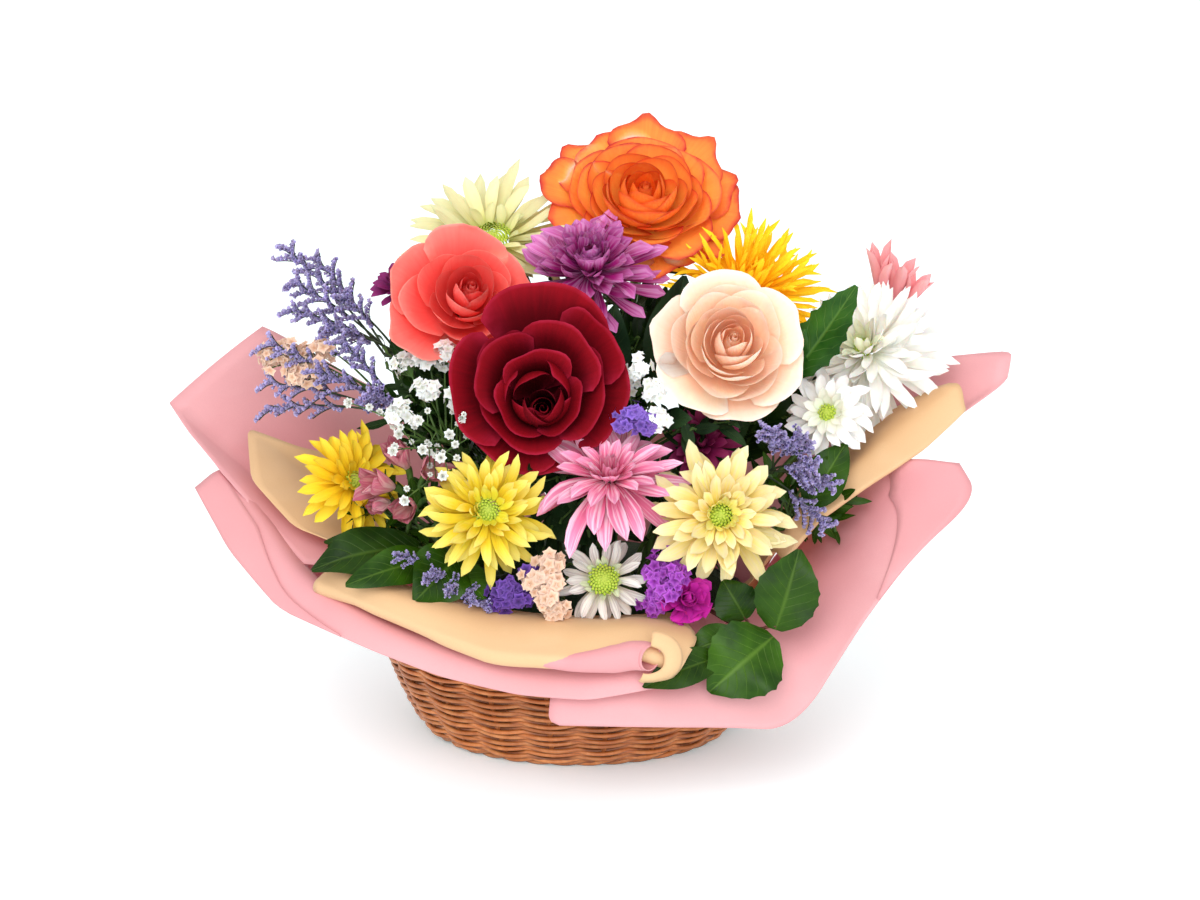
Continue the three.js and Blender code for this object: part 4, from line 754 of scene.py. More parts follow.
def rose(name):
    """Petals wind outward: s runs from 0 at the heart to 1 at the rim."""
    spec = ROSES[name]
    radius, height, count = spec.radius, spec.height, spec.petals
    turn = stand(spec.facing)
    at = vec(spec.at) - ROSE_DEPTH * height * unit(spec.facing)
    aside = turn @ np.array([*spec.heart, 0.0])
    heart = radius * spec.bud
    form = Form()
    bud(form, at + aside, turn, heart, height)
    for i in range(count):
        s = ((i + 0.5) / count) ** spec.crowding
        outer = max(0.0, (s - 0.3) / 0.7)
        spread = spec.spread * radius * (0.14 + 0.84 * s**1.1)
        lip = max(spread * rng.uniform(0.94, 1.07), heart * 1.05)
        belly = radius * (0.2 + 0.72 * s**0.95)
        top = height * (0.98 - 0.32 * s**1.8) * rng.uniform(0.95, 1.04)
        curl = spec.curl * radius * outer - min(0.11 * radius * max(0.0, 1 - s / 0.4), 0.3 * lip)
        heading = spec.turn + i * GOLDEN_ANGLE + rng.normal(0, 0.2)
        rose_petal(
            form, at + aside * (1 - s), turn, heading, foot=radius * (0.05 + 0.12 * s), belly=belly, lip=lip,
            low=0.1 * height * (1 - s), top=top, span=1.35 - 0.5 * s, curl=curl, layer=s,
            ruffle=radius * (0.008 + 0.022 * outer), tip=spec.tip * outer, twist=0.3 - 0.2 * s,
            droop=0.4, corner=2.2, tuck=0.14)
    for degrees, reach, high, half in spec.great:
        rose_petal(
            form, at + aside * max(0, 1 - reach), turn, math.radians(degrees), foot=radius * 0.16,
            belly=radius * 0.84 * reach, lip=radius * reach, low=0, top=height * high, span=half * 1.25,
            curl=0.12 * radius, layer=1, ruffle=radius * 0.026, tip=spec.tip * 1.8, twist=0.02,
            droop=0.26, corner=3.6, tuck=0)
    for k in range(SEPALS.count):
        heading = k * SEPALS.step + SEPALS.turn
        strip(form, at, turn, radius * SEPALS.start, heading, radius * SEPALS.length, SEPALS.width,
              math.radians(SEPALS.lift), 0.5, -1.0, skin=1, tip="point")
    form.make(name + "_bloom", [SHADES[name], STALK], [name])


# Outlines of long petals: shares of the length, then shares of the width there.
TIPS = {
    "round": ([0, 0.25, 0.55, 0.8, 0.93, 1], [0.34, 0.7, 1, 0.92, 0.62, 0.06]),
    "point": ([0, 0.3, 0.6, 0.85, 1], [0.5, 0.95, 0.9, 0.4, 0.02]),
    "lance": ([0, 0.3, 0.6, 0.84, 0.95, 1], [0.4, 0.72, 1, 0.8, 0.42, 0.05]),
    "spoon": ([0, 0.4, 0.7, 0.9, 1], [0.4, 0.5, 0.85, 0.95, 0.1]),
    "quill": ([0, 0.5, 0.85, 0.95, 1], [0.7, 0.6, 0.75, 0.9, 0.1]),
}


def strip(form, at, turn, start, heading, length, width, lift, bend, rise=0.0, cup=0.3, sway=0.0,
          tip="round", layer=1.0, skin=0, rows=8, columns=5):
    """A long petal: it leaves the head at lift and bends inward, or outward where bend is negative."""
    t = np.linspace(0, 1, rows)
    slope = lift + bend * t
    step = length / (rows - 1)
    middle = start + np.concatenate([[0], np.cumsum(np.cos(slope[1:]) * step)])
    high = rise + np.concatenate([[0], np.cumsum(np.sin(slope[1:]) * step)])
    a = np.linspace(-1, 1, columns)[None]
    half = (width / 2 * np.interp(t, *TIPS[tip]))[:, None]
    bowl = cup * half * a**2
    out = middle[:, None] - np.sin(slope)[:, None] * bowl
    up = high[:, None] + np.cos(slope)[:, None] * bowl
    angle = heading + (sway * t**2)[:, None]
    aside = a * half
    x = out * np.cos(angle) - aside * np.sin(angle)
    y = out * np.sin(angle) + aside * np.cos(angle)
    points = np.stack([x, y, up], -1)
    form.grid(place(points, at, turn), along=t[:, None], across=a, layer=layer, tone=rng.random(), skin=skin)


# Daisy-like heads: place, way, radius, outline of the petals, how many inner whorls have round ones, the
# heart's radius, florets and height, then the whorls. Each whorl: petals, reach as a share of the radius,
# width, lift and bend in degrees, where it starts as a share of the radius, rise, cup.
MUMS = {
    "mum_cream_yellow": ((75, -95, 152), (0.1, -0.9, 0.35), 40, "lance", 1, (9.5, 90, 5), [
        (18, 1.06, 9.2, -3, 4, 0.18, 1, 0.5), (18, 0.94, 8.8, 9, 10, 0.17, 3, 0.5),
        (16, 0.78, 7.8, 20, 14, 0.16, 5, 0.55), (14, 0.56, 6, 36, 20, 0.16, 6, 0.6),
        (12, 0.38, 4.5, 54, 26, 0.15, 6, 0.7)]),
    "mum_yellow": ((-46, -98, 156), (0.1, -0.85, 0.45), 38, "lance", 1, (9, 90, 5), [
        (20, 1.06, 6.6, -12, -12, 0.18, 1, 0.5), (20, 0.95, 6.3, 3, 0, 0.17, 3, 0.5),
        (19, 0.8, 5.8, 15, 10, 0.17, 4, 0.5), (17, 0.62, 5, 30, 16, 0.16, 5, 0.6),
        (14, 0.42, 4, 48, 20, 0.15, 6, 0.6)]),
    "mum_pink": ((17, -93, 176), (0.0, -0.5, 0.86), 46, "lance", 2, (6, 30, 4), [
        (11, 1.02, 10, -6, -26, 0.12, 0, 0.45), (13, 0.9, 9.5, 10, -12, 0.12, 2, 0.45),
        (13, 0.68, 8.5, 26, 0, 0.11, 3, 0.55), (12, 0.46, 6.5, 44, 14, 0.1, 4, 0.7),
        (12, 0.32, 4.5, 62, 26, 0.08, 4, 0.8)]),
    "mum_purple": ((7, -16, 268), (0.0, -0.6, 0.8), 38, "spoon", 0, (4, 24, 6), [
        (15, 1.16, 10, -8, 4, 0.14, -4, 0.5), (17, 1.0, 10, 6, 14, 0.13, -1, 0.6),
        (18, 0.82, 10, 18, 24, 0.12, 2, 0.7), (18, 0.68, 9.5, 30, 34, 0.1, 4, 0.8),
        (17, 0.56, 9, 42, 44, 0.08, 5, 0.8), (13, 0.46, 8.5, 54, 54, 0.06, 6, 0.8),
        (9, 0.36, 8, 66, 60, 0.03, 6, 0.8)]),
    "mum_cream": ((-48, 30, 277), (-0.1, -0.5, 0.86), 48, "lance", 1, (11, 120, 5), [
        (16, 1.12, 8.5, -4, 2, 0.2, 0, 0.4), (18, 1.08, 8.5, 9, 0, 0.2, 1, 0.4),
        (16, 0.9, 8, 20, 2, 0.2, 2, 0.45), (12, 0.5, 6, 34, 8, 0.19, 3, 0.5)]),
    "mum_spider": ((93, 2, 253), (0.25, -0.6, 0.78), 48, "quill", 0, None, [
        (34, 1.08, 4.6, -6, 14, 0.1, -4, 0.7), (38, 1.04, 4.6, 10, 12, 0.1, -2, 0.7),
        (38, 0.98, 4.4, 26, 8, 0.1, 0, 0.7), (34, 0.9, 4.4, 42, 12, 0.1, 1, 0.7),
        (28, 0.78, 4.2, 58, 18, 0.08, 2, 0.7), (20, 0.6, 3.8, 74, 26, 0.05, 3, 0.7)]),
    "mum_white": ((155, 0, 219), (-0.3, -0.65, 0.6), 48, "lance", 0, (7, 60, 9), [
        (28, 1.08, 7.8, -18, -10, 0.14, -4, 0.45), (28, 1.02, 7.8, -3, -6, 0.13, -1, 0.45),
        (26, 0.93, 7.6, 11, 0, 0.12, 2, 0.45), (24, 0.8, 7.4, 25, 4, 0.12, 4, 0.5),
        (20, 0.64, 6.8, 41, 10, 0.1, 6, 0.6), (14, 0.44, 5.6, 60, 16, 0.08, 7, 0.6)]),
    "mum_white_small": ((133, -42, 193), (-0.2, -0.85, 0.4), 24, "lance", 0, (6, 44, 4), [
        (15, 1.14, 7, -8, -4, 0.16, 0, 0.4), (14, 0.96, 6.5, 12, 6, 0.15, 2, 0.4),
        (12, 0.7, 5.5, 34, 14, 0.12, 3, 0.5)]),
    "mum_yellow_left": ((-117, -50, 158), (0.45, -0.7, 0.5), 34, "lance", 1, (7, 50, 4), [
        (18, 1.04, 6.8, -4, -6, 0.16, 0, 0.5), (18, 0.92, 6.4, 12, 4, 0.15, 2, 0.5),
        (16, 0.72, 5.6, 30, 12, 0.14, 3, 0.5), (12, 0.48, 4.6, 50, 18, 0.12, 4, 0.6)]),
    "mum_white_green": ((14, -102, 119), (0.0, -0.9, 0.4), 21, "lance", 1, (9, 100, 6), [
        (13, 1.26, 5.6, -8, -16, 0.24, 0, 0.6), (12, 1.06, 5.2, 10, -4, 0.24, 1, 0.6),
        (12, 0.72, 3.6, 40, 26, 0.26, 2, 0.8)]),
    "mum_magenta_left": ((-98, 16, 249), (-0.3, -0.5, 0.8), 17, "round", 0, None, [
        (11, 1.05, 6, 10, 8, 0.14, 0, 0.5), (10, 0.9, 5.5, 30, 20, 0.12, 1, 0.5),
        (9, 0.7, 5, 52, 40, 0.1, 2, 0.6)]),
    "mum_magenta_right": ((66, -48, 178), (0.0, -0.8, 0.6), 22, "round", 0, None, [
        (12, 1.1, 6, 4, 4, 0.14, 0, 0.5), (12, 0.92, 5.5, 22, 14, 0.13, 1, 0.5),
        (10, 0.7, 5, 44, 30, 0.12, 2, 0.6), (8, 0.5, 4.4, 64, 44, 0.1, 2, 0.6)]),
    "carnation_magenta": ((57, -101, 108), (0.2, -0.9, 0.4), 15, "spoon", 0, None, [
        (11, 1.1, 9, 4, 18, 0.2, 0, -0.3), (11, 1.0, 8, 24, 10, 0.18, 1, -0.4),
        (10, 0.9, 8, 44, 20, 0.14, 2, 0.5), (8, 0.8, 7, 64, 30, 0.1, 3, 0.6)]),
}
# How much petals stray, where it isn't 1.
WILD = {
    "mum_spider": 2.2, "mum_white": 1.8, "mum_pink": 1.5, "mum_yellow": 1.7, "mum_yellow_left": 1.8,
    "mum_cream": 1.6, "mum_white_small": 1.8, "mum_purple": 1.7, "mum_cream_yellow": 1.7,
    "mum_white_green": 1.6, "carnation_magenta": 2.6}
# Lily-like clusters, for each bloom: place, way, petal length, petals, lift, bend and petal width.
HALF_BLOOMS = {
    "alstroemeria_pink": [
        ((-97, -64, 158), (-0.8, -0.6, 0.3), 22, 6, 62, 20, 12),
        ((-88, -68, 150), (-0.2, -0.9, 0.1), 20, 6, 56, 24, 12),
        ((-90, -60, 168), (-0.3, -0.6, 0.7), 24, 6, 66, 22, 12),
        ((-80, -62, 164), (0.4, -0.8, 0.4), 20, 6, 60, 20, 11),
        ((-78, -66, 152), (0.5, -0.8, 0.1), 17, 5, 66, 24, 11),
        ((-100, -60, 148), (-0.7, -0.7, 0.1), 17, 5, 70, 30, 11)],
    "nerine_pink": [
        ((168, 42, 234), (-0.08, -0.3, 0.95), 37, 6, 82, -8, 8),
        ((174, 42, 232), (0.25, -0.3, 0.9), 34, 5, 80, -10, 8),
        ((180, 40, 230), (0.45, -0.3, 0.75), 28, 5, 82, -12, 7)],
}


def mum(name):
    at, facing, radius, tip, round_whorls, heart, whorls = MUMS[name]
    turn = stand(facing)
    foot = vec(at) - MUM_DEPTH * radius * unit(facing)
    wild = WILD.get(name, 1)
    form = Form()
    for k, (count, reach, width, lift, bend, start, rise, cup) in enumerate(whorls):
        outline = tip if k < len(whorls) - round_whorls else "round"
        for i in range(count):
            heading = 2 * np.pi * (i + 0.5 * (k % 2)) / count + rng.normal(0, 0.06) + k * 0.7
            slope = math.radians(lift + rng.normal(0, 5 * wild))
            length = (reach - start) * radius * rng.uniform(1 - 0.1 * wild, 1.04)
            strip(form, foot, turn, start * radius, heading, length, width * rng.uniform(0.88, 1.1), slope,
                  math.radians(bend + rng.normal(0, 9 * wild)), rise + 0.12 * radius, cup,
                  sway=rng.normal(0, 0.09 * wild), tip=outline, layer=1 - k / len(whorls))
    if heart:
        wide, many, high = heart
        for i in range(many):
            share = ((i + 0.5) / many) ** 0.5
            level = 0.12 * radius + high * (1 - 0.4 * share**2)
            strip(form, foot, turn, wide * share, i * GOLDEN_ANGLE, 4.5, 1.7, math.radians(96 - 34 * share),
                  1.4, level, cup=0.9, layer=share, skin=1, rows=5, columns=3)
    small_stem(form, name, foot, -unit(facing), 2)
    centre = LIME_HEART if name not in ("mum_pink", "mum_purple") else SHADES[name]
    form.make(name + "_bloom", [SHADES[name], centre, STALK], [name])


def half_bloom(name):
    """A cluster of lily-like blooms, whose stalks part under their middle."""
    form = Form()
    for at, facing, length, count, lift, bend, width in HALF_BLOOMS[name]:
        turn = stand(facing)
        for i in range(count):
            heading = i * 2 * np.pi / count + rng.normal(0, 0.1)
            strip(form, at, turn, 1.6, heading, length * rng.uniform(0.85, 1.05),
                  width * rng.uniform(0.85, 1.1), math.radians(lift + rng.normal(0, 5)),
                  math.radians(bend + rng.normal(0, 8)), cup=0.7, tip="lance", layer=1 - 0.5 * (i % 2))
    top = np.mean([at for at, *_ in HALF_BLOOMS[name]], 0) - (0, -3, 16)
    for at, facing, *_ in HALF_BLOOMS[name]:
        stalk = bow(top, np.array(at) - 8 * unit(facing), at, np.linspace(0, 1, 6))
        form.tube(stalk, np.linspace(1, 2.2, 6), 6, 1)
    small_stem(form, name, top, np.array((0.0, 0.3, -1.0)), 1)
    form.make(name + "_bloom", [SHADES[name], STALK], [name])


# Stems: each keeps the hole in the foam that its CAD node stands in. Its foot is found among the node's
# points at the hole's depth. It leaves the foam upright and meets the bloom along a straight shoulder.

# Small blooms are one piece with their stem.
SMALL = ("mum_white_small", "mum_yellow_left", "mum_white_green", "mum_magenta_left", "mum_magenta_right",
         "carnation_magenta", "alstroemeria_pink", "nerine_pink")


def stem_path(node, top, back):
    corners = np.array([v.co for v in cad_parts[node].data.vertices]) * 1000
    near = corners[np.abs(corners[:, 2] - FOAM_TOP + STEM.depth) < HOLE.near]
    from_middle = np.hypot(near[:, 0], near[:, 1])
    foot = near[from_middle < from_middle.min() + HOLE.wide].mean(0)
    crown = np.array([foot[0], foot[1], FOAM_TOP + STEM.crown])
    shoulder = vec(top) + STEM.shoulder * unit(back)
    return smooth_path([foot, crown, (crown + shoulder) / 2, shoulder, top])


def leader(form, node, fork):
    """The stem of a spray or of a leafy stem, up to where it forks."""
    path = stem_path(node, fork, (-fork[0], -fork[1], -40))
    form.tube(path, STEM.thin, 6, 1, tone=0.4)
    return path


def small_stem(form, node, top, back, skin):
    if node in SMALL:
        form.tube(stem_path(node, top, back), STEM.thin, 6, skin, tone=rng.random())


def stem(name, at, facing, depth, radius):
    top = vec(at) - depth * unit(facing)
    form = Form()
    path = stem_path(name + "_stem", top, -unit(facing))
    form.tube(path, np.linspace(radius, radius * 1.25, len(path)), 8, tone=rng.random())
    form.make(name + "_stalk", [STALK], [name + "_stem"])


# Sprays. Florets are cones: radius and height of each ring.


def floret_cone(sides, rings, ruffle=0.0):
    turn = np.linspace(0, 2 * np.pi, sides, endpoint=False)
    wave = 1 + ruffle * np.cos(turn * 5)
    points = []
    for k, (radius, level) in enumerate(rings):
        reach = radius * (wave if k else 1)
        high = level + ruffle * k * 1.2 * np.sin(turn * 5)
        points.append(np.stack([reach * np.cos(turn), reach * np.sin(turn), high], -1))
    return np.stack(points), np.linspace(0, 1, len(rings))[:, None]


CALYX = floret_cone(5, [(0.3, 0), (0.65, 1.2), (1.15, 2.4)])
TRUMPET = floret_cone(10, [(0.15, 1.5), (1.2, 1.7), (2.3, 2.1), (3.3, 2.2)], 0.2)
# Whorls of a small double floret: petals and lift in degrees.
PUFF = ((7, 5), (6, 40), (4, 72))


def floret(form, template, at, facing, size):
    points, along = template
    spin = rng.uniform(0, 6.3)
    turn = stand(unit(facing) + (1e-4, 0, 0))
    roll = np.array([[math.cos(spin), -math.sin(spin), 0], [math.sin(spin), math.cos(spin), 0], [0, 0, 1]])
    points = place(points * size, at, turn @ roll)
    form.grid(points, True, along=along, layer=1, tone=rng.random())


def puff(form, at, facing, size):
    turn = stand(facing)
    for whorl, (count, lift) in enumerate(PUFF):
        for i in range(count):
            slope = math.radians(lift + rng.normal(0, 8))
            strip(form, at, turn, 0.2, i * 2 * np.pi / count + whorl, size, size * 0.75, slope,
                  0.3, cup=0.4, rows=4, columns=3)


# Each spray: what its branches carry, the colour, where the stem forks and where the branches end.
SPRAYS = {
    "limonium_left_high": ("sprig", "lavender", (-106, 8, 212), [
        (-158, -5, 274), (-141, 0, 267), (-152, -15, 257), (-153, -20, 243), (-126, -8, 247),
        (-133, -20, 233)]),
    "limonium_left_low": ("sprig", "lavender", (-100, -18, 184), [
        (-165, -25, 226), (-168, -20, 203), (-168, -15, 187), (-124, -30, 227), (-138, -35, 213),
        (-109, -45, 203)]),
    "limonium_right": ("sprig", "lavender", (104, -56, 164), [
        (102, -84, 192), (116, -80, 188), (121, -84, 175), (130, -76, 164), (130, -78, 142)]),
    "limonium_front": ("sprig", "lavender", (-62, -84, 114), [
        (-94, -106, 134), (-78, -112, 124), (-66, -114, 117), (-54, -114, 112), (-46, -112, 106)]),
    "statice_white_left": ("crown", "white", (-74, -40, 177), [
        (-93, -25, 216), (-80, -30, 221), (-71, -33, 224), (-81, -50, 207), (-96, -50, 195),
        (-63, -50, 205)]),
    "statice_white_mid": ("crown", "white", (30, -30, 192), [
        (32, -66, 224), (40, -72, 212), (43, -82, 201), (27, -52, 212)]),
    "statice_purple_mid": ("crown", "violet_mid", (26, -44, 206), [
        (24, -84, 198), (30, -82, 202), (37, -82, 196)]),
    "statice_purple_front": ("crown", "violet_front", (40, -84, 104), [
        (49, -94, 130), (43, -98, 122), (52, -102, 121), (42, -96, 114), (48, -104, 112), (41, -100, 105)]),
    "statice_purple_left": ("crown", "violet_left", (-32, -84, 104), [
        (-36, -108, 117), (-30, -110, 112), (-41, -108, 110), (-24, -106, 122)]),
    "statice_peach_left": ("crown", "peach", (-114, 2, 190), [
        (-168, -18, 217), (-158, -18, 220), (-148, -16, 218), (-137, -14, 222), (-153, -22, 208),
        (-142, -20, 211)]),
    "statice_peach_front": ("crown", "peach", (-10, -84, 102), [
        (-15, -104, 130), (-13, -110, 121), (-17, -114, 113), (-12, -113, 106), (-23, -110, 121)]),
    "gypsophila": ("puff", "white", (-70, -46, 170), [
        (-84, -76, 198), (-93, -74, 190), (-66, -86, 193), (-70, -98, 184), (-60, -80, 200),
        (-80, -86, 185), (-95, -92, 186), (-89, -98, 161), (-69, -100, 175), (-120, -60, 203),
        (-82, -84, 200)]),
}

# How many florets each branch end of a statice carries.
CROWD = {
    "statice_white_left": 34, "statice_white_mid": 22, "statice_purple_mid": 26, "statice_purple_front": 36,
    "statice_purple_left": 26, "statice_peach_left": 40, "statice_peach_front": 44}
# Sea lavender: size of its florets and length of its side twigs.
LAVENDER = {"limonium_front": (0.62, 10)}
USUAL_LAVENDER = (1, 16)
BRANCH = Sizes(points=14, thick=0.75, thin=0.35, arch=0.12)
TWIG = Sizes(first=5, last=12, shorter=0.9, along=0.85, aside=0.42, stray=1.2, thick=0.32, points=11)
CROWN = Sizes(near=1.0, far=7.6, sink=3, stalk=0.35, smallest=0.55, largest=1.05)
BREATH = Sizes(large=3.1, small=(1.4, 2.4), beside=(7, 9, 11), stray=6, stalk=0.28)


def branch(fork, tip, count, arch=0.0):
    fork, tip = vec(fork), vec(tip)
    middle = (fork + tip) / 2 + (0, 0, np.linalg.norm(tip - fork) * arch)
    return bow(fork, middle, tip, np.linspace(0, 1, count))


def sprig(form, path, side, size):
    """Florets in three close rows along the outer part of a side twig, with gaps here and there."""
    for k in range(2, len(path)):
        ahead = unit(path[k] - path[k - 1])
        up = unit(np.cross(ahead, side))
        for row in (-1, 0, 1):
            if rng.random() < 0.15:
                continue
            way = ahead * 0.8 + up * (0.9 - 0.5 * abs(row)) + row * side * 0.7 + rng.normal(0, 0.18, 3)
            at = path[k] + row * side * 0.6 + up * 0.4
            floret(form, CALYX, at, unit(way), rng.uniform(0.7, 1.2) * size)


def lavender_branch(form, name, path, ahead):
    """Twigs to one side and the other in turn, then the branch's own end, all set with florets."""
    size, length = LAVENDER.get(name, USUAL_LAVENDER)
    for k in range(TWIG.first, TWIG.last + 1):
        side = unit(np.cross(path[k] - path[k - 1], (0, -1, 0.2))) * (1 if k % 2 else -1)
        reach = length - TWIG.shorter * (k - 6) + rng.uniform(-2, 3)
        end = path[k] + ahead * reach * TWIG.along + side * reach * TWIG.aside + rng.normal(0, TWIG.stray, 3)
        twig = bow(path[k], path[k] + ahead * reach * 0.5, end, np.linspace(0, 1, TWIG.points))
        form.tube(twig, TWIG.thick, 4, 1, tone=0.2)
        sprig(form, twig, unit(np.cross(ahead, side)), size)
    sprig(form, branch(path[9], path[-1], 10), unit(np.cross(ahead, (0.1, -1, 0.1))), size)


def statice_branch(form, name, path, ahead):
    """A crowd of trumpets round the branch's end, each on its own stalk."""
    for _ in range(CROWD[name]):
        aside = unit(rng.normal(0, 1, 3) + ahead * 0.8 + (0, -0.7, 0.2))
        centre = path[-1] + aside * rng.uniform(CROWN.near, CROWN.far) - ahead * CROWN.sink
        form.tube(branch(path[-4], centre, 4), CROWN.stalk, 4, 1, tone=0.5)
        facing = unit(aside + ahead * 0.4 + (0, -0.3, 0))
        floret(form, TRUMPET, centre, facing, rng.uniform(CROWN.smallest, CROWN.largest))


def gypsophila_branch(form, name, path, ahead):
    """One open floret at the branch's end and three smaller ones beside it."""
    puff(form, path[-1], unit(ahead + (0, -1.2, 0.2)), BREATH.large)
    for k in BREATH.beside:
        end = path[k] + rng.normal(0, BREATH.stray, 3) + (0, -3, 2)
        form.tube(branch(path[k], end, 5), BREATH.stalk, 4, 1, tone=0.5)
        puff(form, end, unit((0.1, -1, 0.3)), rng.uniform(*BREATH.small))


CARRIES = {"sprig": lavender_branch, "crown": statice_branch, "puff": gypsophila_branch}


def spray(name):
    kind, shade, fork, tips = SPRAYS[name]
    form = Form()
    start = leader(form, name, fork)
    for n, tip in enumerate(tips):
        path = branch(start[-1 - min(8, n)], tip, BRANCH.points, BRANCH.arch)
        form.tube(path, np.linspace(BRANCH.thick, BRANCH.thin, BRANCH.points), 5, 1, tone=rng.random())
        CARRIES[kind](form, name, path, unit(path[-1] - path[-3]))
    stalk = DARK_STALK if kind == "sprig" else STALK
    form.make(name + "_spray", [SHADES[shade], stalk], [name])


# Leafy stems: shade, fork, then each leaf's base, tip, width, the way its upper side faces, arch, notches.

GREENS = {
    "leaves_left": (FRESH_LEAF, (-64, -64, 118), [
        ((-84, -72, 126), (-139, -92, 121), 32, (0, -0.6, 0.8), 6, 0),
        ((-74, -76, 122), (-120, -108, 118), 22, (0.1, -0.8, 0.6), 5, 0),
        ((-62, -84, 126), (-84, -110, 110), 34, (0.2, -0.9, 0.5), 4, 0),
        ((-64, -82, 118), (-48, -106, 110), 20, (0.2, -0.9, 0.5), 2, 0),
        ((-84, -62, 124), (-134, -72, 130), 18, (0, -0.8, 0.6), 3, 0)]),
    "leaves_front_right": (FRESH_LEAF, (96, -108, 94), [
        ((103, -112, 95), (115, -106, 137), 34, (0.1, -0.95, 0.3), 3, 0.04),
        ((102, -114, 92), (68, -132, 68), 42, (0.1, -0.9, 0.5), 4, 0.04),
        ((74, -122, 84), (34, -141, 74), 20, (0, -0.8, 0.6), 3, 0),
        ((84, -110, 91), (57, -117, 84), 20, (0, -0.8, 0.6), 3, 0),
        ((88, -104, 98), (76, -100, 118), 24, (0, -0.95, 0.3), 3, 0.03)]),
    "leaves_holly": (GLOSSY_LEAF, (108, -28, 198), [
        ((114, -36, 210), (147, -42, 262), 24, (-0.3, -0.95, 0.2), -3, 0.13),
        ((109, -36, 210), (120, -48, 240), 16, (0, -0.9, 0.3), 3, 0.13)]),
    "leaves_right": (FRESH_LEAF, (120, -56, 134), [
        ((123, -60, 145), (143, -49, 178), 24, (-0.2, -0.9, 0.4), 3, 0),
        ((124, -50, 136), (152, -32, 150), 20, (0, -0.8, 0.6), 3, 0)]),
    "leaves_mid": (FILL_LEAF, (30, -22, 160), [
        ((44, -40, 186), (59, -90, 202), 15, (-0.3, -0.8, 0.5), 2, 0),
        ((44, -22, 204), (57, -22, 263), 28, (0, -1, 0.2), 3, 0),
        ((22, -26, 178), (-4, -38, 205), 26, (0, -1, 0.3), 3, 0),
        ((14, -22, 198), (20, -26, 248), 24, (0, -1, 0.2), 3, 0),
        ((52, -26, 160), (92, -38, 186), 30, (0, -1, 0.4), 3, 0),
        ((10, -30, 150), (-34, -46, 172), 32, (0, -1, 0.4), 3, 0),
        ((44, -34, 140), (66, -58, 150), 28, (0, -1, 0.4), 3, 0),
        ((12, -34, 132), (-20, -62, 134), 30, (0, -1, 0.5), 3, 0)]),
    "leaves_back_left": (DEEP_LEAF, (-60, 30, 150), [
        ((-68, 30, 160), (-104, 40, 214), 34, (-0.3, 0.9, 0.4), 4, 0),
        ((-58, 38, 165), (-56, 62, 232), 36, (0, 0.9, 0.4), 4, 0),
        ((-64, 46, 150), (-96, 78, 168), 32, (-0.3, 0.7, 0.7), 4, 0),
        ((-64, 14, 160), (-84, -2, 216), 34, (0, -1, 0.3), 3, 0),
        ((-50, 22, 160), (-34, 8, 232), 36, (0, -1, 0.3), 3, 0)]),
    "leaves_back_mid": (DEEP_LEAF, (12, 40, 150), [
        ((8, 48, 162), (-12, 72, 240), 36, (-0.1, 0.95, 0.3), 4, 0),
        ((16, 48, 162), (40, 76, 236), 36, (0.1, 0.95, 0.3), 4, 0),
        ((12, 52, 150), (14, 92, 178), 34, (0, 0.7, 0.7), 4, 0),
        ((2, 26, 160), (-10, 14, 232), 34, (0, -1, 0.2), 3, 0),
        ((20, 28, 160), (32, 12, 240), 34, (0, -1, 0.2), 3, 0)]),
    "leaves_back_right": (DEEP_LEAF, (82, 34, 150), [
        ((90, 40, 162), (112, 60, 222), 34, (0.3, 0.9, 0.4), 4, 0),
        ((92, 38, 150), (132, 62, 176), 32, (0.3, 0.7, 0.7), 4, 0),
        ((82, 42, 160), (78, 70, 218), 32, (0, 0.9, 0.4), 4, 0),
        ((76, 22, 160), (62, 0, 226), 32, (0, -1, 0.3), 3, 0),
        ((90, 18, 150), (112, 0, 208), 34, (0, -1, 0.3), 3, 0)]),
}


def leaf(form, start, base, tip, width, face, arch, notch, rows=22, columns=11):
    base, tip = vec(base), vec(tip)
    ahead = tip - base
    length = np.linalg.norm(ahead)
    ahead /= length
    across = unit(np.cross(ahead, face))
    up = np.cross(across, ahead)
    t = np.linspace(0, 1, rows)
    a = np.linspace(-1, 1, columns)
    phase, tone = rng.uniform(0, 6.3), rng.random()
    half = width / 2 * np.sin(np.pi * np.clip(0.03 + 0.95 * t, 0, 1) ** 0.85) ** 0.85
    half = half * (1 + notch * (np.abs(((t * 7) % 1) - 0.5) * 4 - 1))
    middle = base + t[:, None] * length * ahead + up * (arch * np.sin(np.pi * t))[:, None]
    fold = np.abs(a) * 0.24 - 0.1 * a**2
    wave = 0.05 * np.sin(t[:, None] * 11 + phase + (a > 0) * 2) * np.abs(a) * width
    points = middle[:, None] + across * (a[None] * half[:, None])[..., None]
    points += up * (fold[None] * half[:, None] + wave)[..., None]
    form.grid(points, along=t[:, None], across=a[None], layer=1, tone=tone)
    stalk = bow(start, (np.asarray(start) + base) / 2 + (0, 0, 2), base + ahead * 2, np.linspace(0, 1, 7))
    form.tube(stalk, STEM.leaf_stalk, 5, 1, tone=tone)


# Twigs with small leaves that fill the gaps: how many, and the middle and half sizes of where they end.
FILL = {
    "leaves_mid": (60, (24, -52, 150), (62, 20, 44)),
    "leaves_back_left": (44, (-66, -2, 196), (38, 22, 40)),
    "leaves_back_mid": (54, (6, 4, 222), (40, 18, 38)),
    "leaves_back_right": (40, (84, 10, 200), (44, 24, 34)),
    "leaves_left": (30, (-84, -52, 134), (34, 12, 18)),
    "leaves_right": (18, (122, -46, 146), (20, 8, 18)),
}
# Leaves of these twigs: where on the twig, length, width as a share of it, stalk.
TWIG_LEAF = Sizes(at=(7, 6, 5, 4), length=(10, 20), width=(0.28, 0.46), stalk=2)


